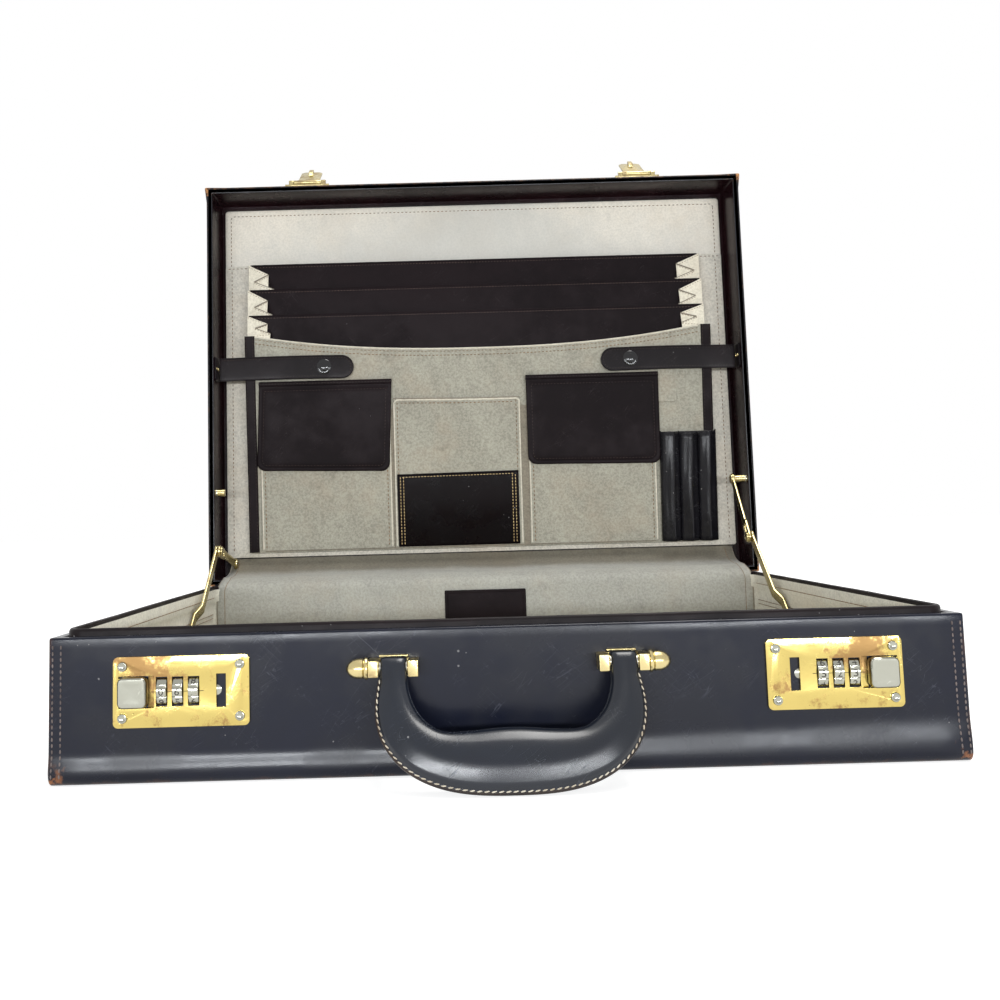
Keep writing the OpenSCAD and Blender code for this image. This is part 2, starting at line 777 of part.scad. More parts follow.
module lid_end_panels() {
  color(hide) on_lid() both_sides() translate([half_w - leather_t / 2, rim_w, lid_rear_v + leather_t])
    along_x(leather_t) lid_section(lid_h - leather_t, case_d - 2 * leather_t, edge_r - leather_t);
}

module lid_lining() {
  x = half_w - lid_wall;
  low = lid_rear_v + lid_wall;
  high = lid_front_v - lid_wall;
  color([0.22, 0.12, 0.12]) on_lid() difference() {
    block([-x, rim_w, low], [x, lid_inner_w, high]);
    block([-x + lid_lining_t, rim_w - 1, low + lid_lining_t], [x - lid_lining_t, lid_inner_w + 1, high - lid_lining_t]);
  }
}

module organiser_board() {
  color(suede) on_lid() block([-board_half_w, board_face, board_low], [board_half_w, lid_inner_w, board_high]);
}

module file_backing() {
  color(suede) on_lid() block([-board_half_w, backing_face, board_low], [board_half_w, board_face, backing_high]);
}

// Cloth between the board's lower edge and the hinge line, sagging in the middle.
module hinge_gusset() {
  half = lip_inner_x - 3;
  t = 0.8;
  top_w = board_face;
  top_v = board_low;
  low_v = lid_rear_v + lid_wall + lid_lining_t + 0.6;
  color(suede) on_lid() along_x(2 * half) polygon([
    [top_w, top_v], [top_w + t, top_v], [top_w + t, top_v - 5], [top_w * 0.86, low_v + 5], [top_w * 0.55, low_v],
    [rim_clear, low_v], [rim_clear, low_v + t], [top_w * 0.55, low_v + t], [top_w * 0.84, low_v + 5 + t], [top_w, top_v - 4.6]
  ]);
}

// Hasps

module hasp_bases() {
  color(brass) on_lid() for (side = [-1, 1]) translate([side * slot_x, 0, 0]) {
    difference() {
      union() {
        block([-hasp_base_w / 2, rim_w + 1, lid_front_v], [hasp_base_w / 2, rim_w + 1 + hasp_base_l, lid_front_v + hasp_base_t]);
        for (s = [-1, 1]) hull() {
          x = s < 0 ? -hasp_w / 2 - 4 : hasp_w / 2 + play;
          rod_x(x, hasp_pin_w, hasp_pin_v, 4 - play, hasp_knuckle_r);
          block([x, hasp_pin_w - hasp_knuckle_r, lid_front_v + hasp_base_t - 0.5],
                [x + 4 - play, hasp_pin_w + hasp_knuckle_r, lid_front_v + hasp_base_t]);
        }
      }
      rod_x(-hasp_base_w / 2, hasp_pin_w, hasp_pin_v, hasp_base_w, 1);
    }
    rod_x(-hasp_w / 2 - 4, hasp_pin_w, hasp_pin_v, hasp_w + 8, 1);
  }
}

// Sprung flap that folds over the rim and puts its tongue in the lock.
module hasp(side) {
  d = hasp_knuckle_r - hasp_t;
  color(brass) on_lid() translate([side * slot_x, hasp_pin_w, hasp_pin_v]) rotate([-hasp_open, 0, 0]) difference() {
    union() {
      rod_x(-hasp_w / 2, 0, 0, hasp_w, hasp_knuckle_r);
      translate([0, 0, d]) linear_extrude(hasp_t) polygon([
        [-hasp_w / 2, 0], [hasp_w / 2, 0], [hasp_w / 2, -8], [hasp_tip_w / 2, -14], [hasp_tip_w / 2, -hasp_reach + 3],
        [hasp_tip_w / 2 - 3, -hasp_reach], [-hasp_tip_w / 2 + 3, -hasp_reach], [-hasp_tip_w / 2, -hasp_reach + 3],
        [-hasp_tip_w / 2, -14], [-hasp_w / 2, -8]
      ]);
      block([-tongue_w / 2, -hasp_tongue - tongue_h / 2, d - tongue_l], [tongue_w / 2, -hasp_tongue + tongue_h / 2, d + eps]);
    }
    rod_x(-hasp_w / 2 - 1, 0, 0, hasp_w + 2, 1 + run);
    notch_x = side < 0 ? -tongue_w / 2 - 1 : 0.2;
    block([notch_x, -hasp_tongue - nose_h / 2 - 0.5, d - 5.2], [notch_x + tongue_w / 2 + 0.8, -hasp_tongue + nose_h / 2 + 0.5, d - 1.2]);
  }
}

// File

// Frame of one file panel: origin on its hinge line, leaning out of the lid.
module on_panel(i) {
  on_lid() translate([0, panel_w(i), file_low]) rotate([panel_lean(i), 0, 0]) children();
}

module file_divider(i) {
  half = file_half_w - 2;
  color(hide) on_panel(i) block([-half, 0, 0], [half, divider_t, panel_top(i)]);
}

// Front panel with a scooped upper edge.
module file_front_panel() {
  top = panel_top(panels - 1);
  half = file_half_w;
  scoop_r = (pow(half - 10, 2) + pow(front_dip, 2)) / (2 * front_dip);
  color(suede) on_panel(panels - 1) translate([0, front_t, 0]) rotate([90, 0, 0]) linear_extrude(front_t) difference() {
    translate([-half, 0]) square([2 * half, top]);
    translate([0, top - front_dip + scoop_r]) circle(scoop_r, $fn = 180);
  }
}

// One leaf of a gusset, a thin plate whose corners are given in the lid's frame.
module gusset_leaf(outer, inner, low, outer_high, inner_high, w_outer, w_inner) {
  points = [for (c = [[outer, w_outer, low], [inner, w_inner, low], [inner, w_inner, inner_high], [outer, w_outer, outer_high]],
                 t = [0, gusset_t]) [c[0], (t == 0 ? 0 : gusset_t) + panel_mid(c[1], c[2]), c[2]]];
  faces = [[0, 2, 4], [0, 4, 6], [1, 5, 3], [1, 7, 5], [0, 1, 3], [0, 3, 2], [2, 3, 5], [2, 5, 4], [4, 5, 7], [4, 7, 6], [6, 7, 1], [6, 1, 0]];
  polyhedron(points = points, faces = faces);
}

// Depth at height v of a place k between panel 0, k = 0, and the front panel, k = 3.
function panel_mid(k, v) = let (lean = front_lean * (k + 1) / panels)
  panel_w(0) - k * divider_pitch - (v - file_low) * tan(lean);

module file_gussets() {
  low = file_low + 66;
  color(suede) on_lid() both_sides() for (i = [0:panels - 2]) {
    top = divider_high - i * divider_step;
    outer = file_half_w - 2.5;
    inner = outer - gusset_fold;
    gusset_leaf(outer, inner, low, top - 1, top - 8, i + 0.36, i + 0.5);
    gusset_leaf(outer, inner, low, top - 18, top - 8, i + 0.62, i + 0.5);
  }
}

// Pockets in the front panel's frame: Y towards the lid's rim is negative.
module on_front() {
  on_panel(panels - 1) children();
}

// Sheet on the front panel, from depth y out towards the rim.
module sheet(low, high, y, t) {
  block([low[0], -y - t, low[1]], [high[0], -y, high[1]]);
}

module file_pockets() {
  color(suede) on_front() {
    sheet([-file_half_w + 8, pocket_low], [168, pocket_high], 0, pocket_t);
    sheet([left_pocket_u[0], pocket_low + 1], [left_pocket_u[1], pocket_high - 3], pocket_t, pocket_t);
    sheet([middle_pocket_u[0], pocket_low + 1], [middle_pocket_u[1], pocket_high + 2], pocket_t, pocket_t);
    sheet([right_pocket_u[0], pocket_low], [right_pocket_u[1], pocket_high - 3], pocket_t, pocket_t);
  }
}

module card_pocket() {
  color(hide) on_front() sheet([card_u - card_w / 2, pocket_low + 1], [card_u + card_w / 2, card_h], 2 * pocket_t, pocket_t);
}

// Row of upright loops, each half a tube, on a strip of leather.
module pen_holder() {
  wall = 1.2;
  r = pen_loop_w / 2;
  color(hide) on_front() translate([0, -pocket_t, 0]) {
    for (i = [0:pen_loops - 1]) translate([pen_u + (i + 0.5) * pen_loop_w, 0, pocket_low]) difference() {
      linear_extrude(pen_h) intersection() {
        circle(r);
        translate([-r, -r]) square([2 * r, r]);
      }
      translate([0, 0, -1]) linear_extrude(pen_h + 2) intersection() {
        circle(r - wall);
        translate([-r, -r]) square([2 * r, r - wall]);
      }
    }
  }
}

module flap(side) {
  x = side < 0 ? flap_u[0] : flap_u[1];
  y = 2 * pocket_t + play;
  color(hide) on_front() difference() {
    translate([x, -y, flap_high - flap_l / 2]) rotate([90, 0, 0]) linear_extrude(flap_t) union() {
      round_rect(flap_w, flap_l, flap_corner_r);
      translate([-flap_w / 2, 0]) square([flap_w, flap_l / 2]);
    }
  }
}

// Strip sewn over the upper edge of each flap.
module flap_hems() {
  color(hide) on_front() for (x = flap_u)
    sheet([x - flap_w / 2, flap_high + 0.15], [x + flap_w / 2, flap_high + 3.4], 0, 2 * pocket_t - play);
}

// Straps

// Strap from the lid's side wall, with a round tip and a snap cap.
module strap(side) {
  mid = strap_root - strap_l + strap_w / 2;
  color(hide) on_lid() scale_side(side) {
    translate([0, strap_back, strap_v]) rotate([90, 0, 0]) linear_extrude(strap_t) {
      translate([mid, -strap_w / 2]) square([strap_root - mid, strap_w]);
      translate([mid, 0]) circle(strap_w / 2);
    }
    rod_y(strap_root - strap_l + snap_from_tip, strap_back - strap_t - 1.8, strap_v, 1.8 + eps, snap_r);
  }
}

// Left is the mirror image of right.
module scale_side(side) {
  if (side < 0) mirror([1, 0, 0]) children();
  else children();
}

// Leather tab on the lid's side wall, from which a strap bends.
module strap_anchors() {
  x = half_w - lid_wall - lid_lining_t;
  color(hide) on_lid() both_sides() block([x - 1.6, rim_clear, strap_v - strap_w / 2], [x, strap_back + 4, strap_v + strap_w / 2]);
}

// Lid stays

module stay_tray_rivets() {
  face = inner_w / 2 - wall_lining_t;
  y = hinge_y - stay_tray_y;
  z = hinge_z - stay_tray_z;
  color(brass) both_sides() {
    rod_x(arm_x + stay_t + play, y, z, face - arm_x - stay_t - play, 5);
    rod_x(arm_x - play - 1.2, y, z, stay_t + 2 * play + 1.2 + eps, stay_pin_r);
    rod_x(arm_x - play - 1.2, y, z, 1.2, 3.8);
  }
}

// Lower arm with a sideways step, from its tray rivet along +Y, and its knee pin.
module stay_arm() {
  color(brass) translate([0, hinge_y - stay_tray_y, hinge_z - stay_tray_z]) rotate([arm_angle, 0, 0]) {
    difference() {
      union() {
        translate([0, 0, -stay_w / 2]) linear_extrude(stay_w) polygon([
          [arm_x, 0], [arm_x + stay_t, 0], [arm_x + stay_t, step_start], [arm_upper_x + stay_t, step_end],
          [arm_upper_x + stay_t, arm_l], [arm_upper_x, arm_l], [arm_upper_x, step_end - 1], [arm_x, step_start - 1]
        ]);
        rod_x(arm_x, 0, 0, stay_t, eye_r);
        rod_x(arm_upper_x, arm_l, 0, stay_t, eye_r);
      }
      rod_x(arm_x - 1, 0, 0, stay_t + 2, stay_pin_r + run);
    }
    rod_x(link_x - play - 1.2, arm_l, 0, arm_upper_x - link_x + play + 1.2 + eps, stay_pin_r);
    rod_x(link_x - play - 1.2, arm_l, 0, 1.2, 3.8);
  }
}

// Upper link from the knee along +Y, with a long eye at the knee and a cap at its lid end.
module stay_link(angle) {
  color(brass) translate([0, hinge_y - stay_knee_y, hinge_z + stay_knee_z]) rotate([angle, 0, 0]) {
    difference() {
      union() {
        block([link_x, 0, -stay_w / 2 + 0.5], [link_x + stay_t, link_l, stay_w / 2 - 0.5]);
        block([link_x, 0, -eye_r], [link_x + stay_t, slot_l, eye_r]);
        for (y = [0, slot_l, link_l]) rod_x(link_x, y, 0, stay_t, eye_r);
      }
      for (y = [0, slot_l - 2]) rod_x(link_x - 1, y, 0, stay_t + 2, stay_pin_r + 0.4);
      block([link_x - 1, 0, -stay_pin_r - 0.4], [link_x + stay_t + 1, slot_l - 2, stay_pin_r + 0.4]);
    }
    rod_x(link_x - 1, link_l, 0, 1 + eps, 3.8);
  }
}

// Studs on the lid's side walls; the right one stops just short of its link.
module stay_lid_studs() {
  face = half_w - lid_wall - lid_lining_t;
  color(brass) on_lid() for (side = [-1, 1]) scale_side(side) {
    end = side < 0 ? arm_upper_x + stay_t + 0.8 : link_x + stay_t + 0.5;
    rod_x(face - 0.4, stay_stud_w, stay_stud_v, 0.4, 3.5);
    rod_x(end, stay_stud_w, stay_stud_v, face - end, 3);
  }
}

tray_frame();
tray_cover();
tray_end_panels();
tray_lip();
tray_lining();
tray_floor_lining();
leather_patch();
hinge_leaf_lower();
hinge_leaf_upper();
hinge_pin();
lock_plates();
lock_cases();
lock_screws();
dial_axles();
dial(-1, 0);  // dial_left_1
dial(-1, 1);  // dial_left_2
dial(-1, 2);  // dial_left_3
dial(1, 0);  // dial_right_1
dial(1, 1);  // dial_right_2
dial(1, 2);  // dial_right_3
lock_button(-1);  // lock_button_left
lock_button(1);  // lock_button_right
button_spring(-1);  // button_spring_left
button_spring(1);  // button_spring_right
latch(-1);  // latch_left
latch(1);  // latch_right
handle_mounts();
handle_pins();
handle_core();
handle_grip();
lid_frame();
lid_cover();
lid_end_panels();
lid_lining();
organiser_board();
file_backing();
hinge_gusset();
hasp_bases();
hasp(-1);  // hasp_left
hasp(1);  // hasp_right
file_divider(0);  // file_divider_rear
file_divider(1);  // file_divider_middle
file_divider(2);  // file_divider_front
file_front_panel();
file_gussets();
file_pockets();
card_pocket();
pen_holder();
flap_hems();
flap(-1);  // flap_left
flap(1);  // flap_right
strap(-1);  // strap_left
strap(1);  // strap_right
strap_anchors();
stay_tray_rivets();
mirror([1, 0, 0]) stay_arm();  // stay_arm_left
stay_arm();  // stay_arm_right
mirror([1, 0, 0]) stay_link(loose_link_angle);  // stay_link_left
stay_link(link_angle);  // stay_link_right
stay_lid_studs();
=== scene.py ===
"""Old leather attache case standing open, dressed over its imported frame.

Builders work in millimetres in the frame of the part: X to the right, Y away from the viewer, Z up.
Every piece is stored in metres, with its place in its mesh.
"""

from __future__ import annotations

import logging
from dataclasses import dataclass
from enum import Enum
from functools import cache
from typing import Callable, Sequence

import bmesh
import bpy
import numpy as np
from mathutils import Matrix, Vector

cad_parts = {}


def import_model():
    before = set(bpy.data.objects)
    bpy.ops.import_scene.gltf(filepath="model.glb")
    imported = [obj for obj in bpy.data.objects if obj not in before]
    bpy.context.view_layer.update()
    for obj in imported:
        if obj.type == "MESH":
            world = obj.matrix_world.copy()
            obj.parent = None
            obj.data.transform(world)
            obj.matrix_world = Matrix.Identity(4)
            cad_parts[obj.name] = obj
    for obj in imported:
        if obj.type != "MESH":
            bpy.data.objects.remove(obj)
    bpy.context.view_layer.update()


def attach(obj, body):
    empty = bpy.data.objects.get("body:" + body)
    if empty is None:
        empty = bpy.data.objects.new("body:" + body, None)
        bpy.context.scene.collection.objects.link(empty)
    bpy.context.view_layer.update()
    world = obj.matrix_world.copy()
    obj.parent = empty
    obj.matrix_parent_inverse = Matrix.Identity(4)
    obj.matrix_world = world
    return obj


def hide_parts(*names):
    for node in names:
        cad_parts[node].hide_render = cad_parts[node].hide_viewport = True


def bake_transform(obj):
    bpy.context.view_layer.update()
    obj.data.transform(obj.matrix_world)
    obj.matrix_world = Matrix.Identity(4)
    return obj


LOG = logging.getLogger("attache_case")
MM = 0.001
HINGE_Y = 169.6
HINGE_Z = 71.2
HALF_W = 225.0
HALF_D = 167.0
LID_MIDDLE = 169.6
LID_BACK = 44.2
FRONT = (0, -1, 0)
REAR = (0, 1, 0)
UP = (0, 0, 1)
ACROSS = (1, 0, 0)
# Sewing: distance from one stitch to the next, length and width of a stitch
CASE_SEWING = (2.9, 2.1, 0.95)
LID_SEWING = (2.9, 2.1, 0.9)
BOARD_SEWING = (3.5, 2.2, 0.7)
POCKET_SEWING = (3.4, 2.2, 0.75)
Array = np.ndarray
Colour = tuple[float, float, float]
Point = tuple[float, float, float]
Place = Callable[[Array, Array, Array], Array]


class Side(Enum):
    """Left and right end of the case, as a factor on X."""

    LEFT = -1
    RIGHT = 1

    @property
    def word(self) -> str:
        """Name of the side in piece names."""
        return self.name.lower()


# Places


def tray_place(x: Array, y: Array, z: Array) -> Array:
    """Point of the tray: the three coordinates as they are."""
    return np.stack(np.broadcast_arrays(x, y, z), axis=-1).astype(float)


def lid_place(u: Array, v: Array, w: Array) -> Array:
    """Point of the lid, u to the right, v up from the hinge line and w back from it."""
    return np.stack(np.broadcast_arrays(u, HINGE_Y + np.asarray(w), HINGE_Z + np.asarray(v)),
                    axis=-1).astype(float)


@dataclass(frozen=True)
class Leaning:
    """Frame of one panel of the file, which leans towards the viewer from its lower edge.

    A point is (x, out, up): out towards the viewer and up along the panel.
    """

    depth: float
    lean: float
    foot: float = 28.0

    def __call__(self, x: Array, out: Array, up: Array) -> Array:
        """Turns (out, up) by the lean and moves it to the panel's foot."""
        a = np.radians(self.lean)
        out, up = np.asarray(out, float), np.asarray(up, float)
        return lid_place(x, self.foot + up * np.cos(a) - out * np.sin(a),
                         self.depth - up * np.sin(a) - out * np.cos(a))


FRONT_PANEL = Leaning(30.1, 4.8)
DIVIDERS = (Leaning(33.4, 1.2), Leaning(32.4, 2.4), Leaning(31.4, 3.6))


# Curves and outlines


def rounded_outline(half_w: float, half_h: float, radius: float, side: int = 6, arc: int = 6) -> Array:
    """Closed outline of a rounded rectangle, anticlockwise.

    Each corner is a quarter circle in equal steps of angle, and each side between two corners is cut in
    equal steps.

    Args:
        half_w: half of the width.
        half_h: half of the height.
        radius: radius of the corners.
        side: steps on each straight side.
        arc: steps on each corner.
    Returns:
        Array of shape (4 * (side + arc), 2).
    """
    r = max(min(radius, half_w, half_h), 1e-4)
    quarter = np.linspace(0, np.pi / 2, arc + 1)
    runs = []
    for k, (sx, sy) in enumerate([(1, 1), (-1, 1), (-1, -1), (1, -1)]):
        centre = np.array([sx * (half_w - r), sy * (half_h - r)])
        angle = quarter + k * np.pi / 2
        corner = centre + r * np.stack([np.cos(angle), np.sin(angle)], -1)
        nx, ny = [(-1, 1), (-1, -1), (1, -1), (1, 1)][k]
        start = np.array([nx * (half_w - r), ny * (half_h - r)])
        last = (k + 1) * np.pi / 2
        start = start + r * np.array([np.cos(last), np.sin(last)])
        share = np.linspace(0, 1, side + 1)[1:-1, None]
        runs += [corner, corner[-1] + (start - corner[-1]) * share]
    return np.concatenate(runs)


def squared_top(half_w: float, half_h: float, radius: float, side: int) -> Array:
    """Rounded rectangle whose two upper corners are square: their arcs are pushed out to the nearer side."""
    ring = rounded_outline(half_w, half_h, radius, side, 6)
    r = min(radius, half_w, half_h)
    across, up = (np.abs(ring[:, 0]) - (half_w - r)) / r, (ring[:, 1] - (half_h - r)) / r
    corner = (across > -1e-6) & (up > -1e-6)
    wide = corner & (across >= up - 1e-6)
    ring[wide, 0] = np.sign(ring[wide, 0]) * half_w
    ring[corner & (up >= across - 1e-6), 1] = half_h
    return ring


def at_height(ring: Array, z: float | Array) -> Array:
    """Flat outline as points, all at one height or each at its own."""
    return np.column_stack([ring, np.broadcast_to(z, (len(ring),))])


def unit(v: Array) -> Array:
    """Each vector divided by its length."""
    return v / np.maximum(np.linalg.norm(v, axis=-1, keepdims=True), 1e-12)


def smooth_path(points: Sequence[Sequence[float]], steps: int) -> Array:
    """Smooth curve through points: a Catmull-Rom spline sampled in equal steps of its parameter."""
    p = np.asarray(points, float)
    p = np.concatenate([2 * p[:1] - p[1:2], p, 2 * p[-1:] - p[-2:-1]])
    s = np.linspace(0, len(p) - 3 - 1e-9, steps)
    i = s.astype(int)
    t = (s - i)[:, None]
    a, b, c, d = p[i], p[i + 1], p[i + 2], p[i + 3]
    return 0.5 * (2 * b + (c - a) * t + (2 * a - 5 * b + 4 * c - d) * t**2 + (3 * b - a - 3 * c + d) * t**3)


def spaced(path: Array, pitch: float, margin: float = 0.0) -> tuple[Array, Array]:
    """Points at an equal distance along a path, with the path's direction there.

    The arc length is summed over the path's legs, and places at equal lengths are read off it.

    Args:
        path: points of shape (n, 3).
        pitch: distance from one place to the next.
        margin: length left free at each end.
    Returns:
        Places and unit directions, each of shape (k, 3).
    """
    legs = np.linalg.norm(np.diff(path, axis=0), axis=1)
    length = np.concatenate([[0], np.cumsum(legs)])
    count = max(int((length[-1] - 2 * margin) / pitch), 1)
    at = np.linspace(margin, length[-1] - margin, count + 1)
    read = lambda s: np.stack([np.interp(s, length, path[:, k]) for k in range(3)], -1)
    return read(at), unit(read(np.minimum(at + 0.2, length[-1])) - read(np.maximum(at - 0.2, 0)))


def ripple(x: Array, y: Array, seed: float) -> Array:
    """Slow uneven wave between about -1 and 1: a sum of four sines of unlike lengths and headings."""
    total = np.sin(x * 0.031 + y * 0.017 + seed) + 0.7 * np.sin(x * -0.052 + y * 0.043 + 2.1 * seed)
    return (total + 0.5 * np.sin(x * 0.11 - y * 0.07 + 3.7 * seed) + 0.3
            * np.sin(x * 0.19 + y * 0.23 + seed**2)) / 2.5


def grid_area(points: Array) -> float:
    """Area in square metres of a grid of points in millimetres: the sum of its quads' areas."""
    across, down = points[:-1, 1:] - points[:-1, :-1], points[1:, :-1] - points[:-1, :-1]
    return float(np.linalg.norm(np.cross(across, down), axis=-1).sum()) * MM * MM


# Meshes


class Skin:
    """Collects closed surfaces in millimetres and turns them into one mesh."""

    def __init__(self) -> None:
        """Starts with no points."""
        self.points: list[Array] = []
        self.faces: list[tuple[list[int], int]] = []
        self.count = 0

    def add(self, points: Array, faces: Array, slot: int = 0) -> None:
        """Adds points of shape (n, 3) and faces that count from this call's first point."""
        self.points.append(points.reshape(-1, 3))
        self.faces += [(f, slot) for f in (np.asarray(faces) + self.count).tolist()]
        self.count += len(self.points[-1])

    def grid(self, points: Array, wrap_u: bool = False, wrap_v: bool = False, slot: int = 0) -> None:
        """Adds quads between neighbours in an (m, n, 3) array; a wrapped direction closes on itself."""
        m, n = points.shape[:2]
        i = np.arange(m if wrap_u else m - 1)[:, None]
        j = np.arange(n if wrap_v else n - 1)[None, :]
        a, b = i * n + j, i * n + (j + 1) % n
        c, d = (i + 1) % m * n + (j + 1) % n, (i + 1) % m * n + j
        self.add(points, np.stack([a, b, c, d], -1).reshape(-1, 4), slot)

    def cap(self, ring: Array, slot: int = 0) -> None:
        """Closes a ring of points with one flat face."""
        self.add(ring, np.arange(len(ring))[None, :], slot)

    def stack(self, rings: Array, slot: int = 0, ends: bool = True) -> None:
        """Adds a tube through rings of shape (m, n, 3), closed round each ring and flat at both ends."""
        self.grid(rings, wrap_v=True, slot=slot)
        if ends:
            self.cap(rings[0], slot)
            self.cap(rings[-1], slot)

    def plate(self, place: Place, centre: tuple[float, float], half: tuple[float, float], radius: float,
              rise: Sequence[tuple[float, float]], slot: int = 0, side: int = 2, arc: int = 6) -> None:
        """Adds a flat plate with shaped edges: the outline is set in and lifted step by step.

        Args:
            place: turns (x, lift, y) into a point.
            centre: middle of the plate.
            half: half width and half height.
            radius: corner radius.
            rise: pairs of inset and lift, from one face round the edge to the other face.
            slot: material slot.
            side: steps on each side.
            arc: steps on each corner.
        """
        rings = []
        for inset, lift in rise:
            ring = rounded_outline(half[0] - inset, half[1] - inset, max(radius - inset, 0.05), side, arc)
            rings.append(place(centre[0] + ring[:, 0], lift, centre[1] + ring[:, 1]))
        self.stack(np.array(rings), slot)

    def sheet(self, points: Array, thickness: float, slot: int = 0, bulge: float = 0.4) -> None:
        """Adds a thin closed sheet round a middle surface of shape (m, n, 3).

        Each face is the middle surface moved half the thickness along its normal, the cross product of its
        two directions; the rim runs through the middle surface's edge, moved out by a share of the
        thickness.
        """
        du, dv = np.gradient(points, axis=0), np.gradient(points, axis=1)
        normal = unit(np.cross(du, dv)) * thickness / 2
        outer, inner = points + normal, points - normal
        left = points[:, :1] - unit(dv[:, :1]) * thickness * bulge
        right = points[:, -1:] + unit(dv[:, -1:]) * thickness * bulge
        rings = np.concatenate([left, outer, right, inner[:, ::-1]], axis=1)
        middle = slice(points.shape[1] // 2, points.shape[1] // 2 + 1)
        first = np.concatenate([points[:1, :1], points[:1], points[:1, -1:], points[:1, ::-1]], axis=1)
        last = np.concatenate([points[-1:, :1], points[-1:], points[-1:, -1:], points[-1:, ::-1]], axis=1)
        first -= unit(du[:1, middle]) * thickness * bulge
        last += unit(du[-1:, middle]) * thickness * bulge
        self.grid(np.concatenate([first, rings, last]), wrap_v=True, slot=slot)

    def bar(self, path: Array, across: Array, profile: Array, slot: int = 0, scale: Array | None = None,
            closed: bool = False) -> None:
        """Carries a closed profile along a path.

        Point (i, j) is path i, plus profile j's first part along the side direction, plus its second part
        along the cross product of the path's direction and the side direction.

        Args:
            path: points of shape (m, 3).
            across: side direction at each point, or one for all.
            profile: closed profile of shape (n, 2).
            slot: material slot.
            scale: size of the profile at each point.
            closed: whether the path meets its start.
        """
        if closed:
            along = unit(np.roll(path, -1, axis=0) - np.roll(path, 1, axis=0))
        else:
            along = unit(np.gradient(path, axis=0))
        across = np.broadcast_to(np.asarray(across, float), path.shape)
        across = unit(across - along * np.sum(across * along, -1, keepdims=True))
        out = np.cross(along, across)
        size = np.ones(len(path)) if scale is None else scale
        rings = path[:, None] + size[:, None, None] * (
            across[:, None] * profile[None, :, :1] + out[:, None] * profile[None, :, 1:])
        if closed:
            self.grid(rings, wrap_u=True, wrap_v=True, slot=slot)
        else:
            self.stack(rings, slot)

    def lathe(self, origin: Sequence[float], axis: Sequence[float], profile: Sequence[tuple[float, float]],
              slot: int = 0, around: int = 28) -> None:
        """Turns a profile of (radius, height) pairs about an axis through the origin; radii of 0 close it."""
        axis_v = unit(np.asarray(axis, float))
        ref = np.array([0.0, 0.0, 1.0]) if abs(axis_v[2]) < 0.9 else np.array([1.0, 0.0, 0.0])
        a = unit(np.cross(axis_v, ref))
        b = np.cross(axis_v, a)
        turn = np.linspace(0, 2 * np.pi, around, endpoint=False)
        p = np.asarray(profile, float)
        ring = np.cos(turn)[:, None] * a + np.sin(turn)[:, None] * b
        rings = np.asarray(origin, float) + p[:, None, :1] * ring[None] + p[:, None, 1:] * axis_v
        self.grid(rings, wrap_v=True, slot=slot)

    def stitches(self, path: Array, out: Sequence[float] | Array, pitch: float = 2.6, length: float = 1.9,
                 width: float = 0.5, slot: int = 0, margin: float = 1.0, slant: float = 0.0) -> None:
        """Adds a row of sewn stitches along a path.

        Each stitch is a small spindle: five rings along its length, whose radius is the root of one minus
        the square of the place, flattened against the surface, and turned by the slant in the surface.
        """
        at, along = spaced(path, pitch, margin)
        normal = np.broadcast_to(unit(np.asarray(out, float)), at.shape)
        side = unit(np.cross(normal, along))
        head = unit(along + side * slant)
        side = unit(np.cross(normal, head))
        s = np.array([-1, -0.7, 0, 0.7, 1.0])
        turn = np.linspace(0, 2 * np.pi, 6, endpoint=False)
        r = np.sqrt(np.maximum(1 - s**2, 0))
        x = s * length / 2
        y = r[:, None] * np.cos(turn) * width / 2
        z = r[:, None] * np.sin(turn) * width * 0.35
        spot = (at[:, None, None] + head[:, None, None] * x[None, :, None, None]
                + side[:, None, None] * y[None, :, :, None] + normal[:, None, None] * z[None, :, :, None])
        k, m, n = spot.shape[:3]
        i, j = np.arange(m - 1)[:, None], np.arange(n)[None, :]
        quad = np.stack([i * n + j, i * n + (j + 1) % n, (i + 1) * n + (j + 1) % n, (i + 1) * n + j],
                        -1).reshape(-1, 4)
        faces = (quad[None] + (np.arange(k) * m * n)[:, None, None]).reshape(-1, 4)
        self.add(spot, faces, slot)

    def build(self, name: str, smooth: float = 40.0) -> bpy.types.Object:
        """Makes the object in metres, with doubles merged, faces outward and edges over the angle sharp."""
        mesh = bpy.data.meshes.new(name)
        points = np.concatenate(self.points) * MM
        mesh.from_pydata(points.tolist(), [], [f for f, _ in self.faces])
        mesh.polygons.foreach_set("material_index", [s for _, s in self.faces])
        settle(mesh, smooth)
        return placed(name, mesh)


def placed(name: str, data: bpy.types.ID) -> bpy.types.Object:
    """New object of the scene, at the origin."""
    thing = bpy.data.objects.new(name, data)
    bpy.context.scene.collection.objects.link(thing)
    return thing


def shade(work: bmesh.types.BMesh, angle: float) -> None:
    """Shades every face smooth and keeps the edges sharp where two faces meet at more than the angle."""
    for face in work.faces:
        face.smooth = True
    for edge in work.edges:
        if len(edge.link_faces) == 2:
            edge.smooth = edge.calc_face_angle(0.0) < np.radians(angle)


def settle(mesh: bpy.types.Mesh, smooth: float) -> None:
    """Merges doubles, turns closed shells outward, and shades smooth up to the angle."""
    work = bmesh.new()
    work.from_mesh(mesh)
    bmesh.ops.remove_doubles(work, verts=work.verts, dist=1.5e-6)
    bmesh.ops.dissolve_degenerate(work, edges=work.edges, dist=1e-7)
    bmesh.ops.recalc_face_normals(work, faces=work.faces)
    shade(work, smooth)
    work.to_mesh(mesh)
    work.free()


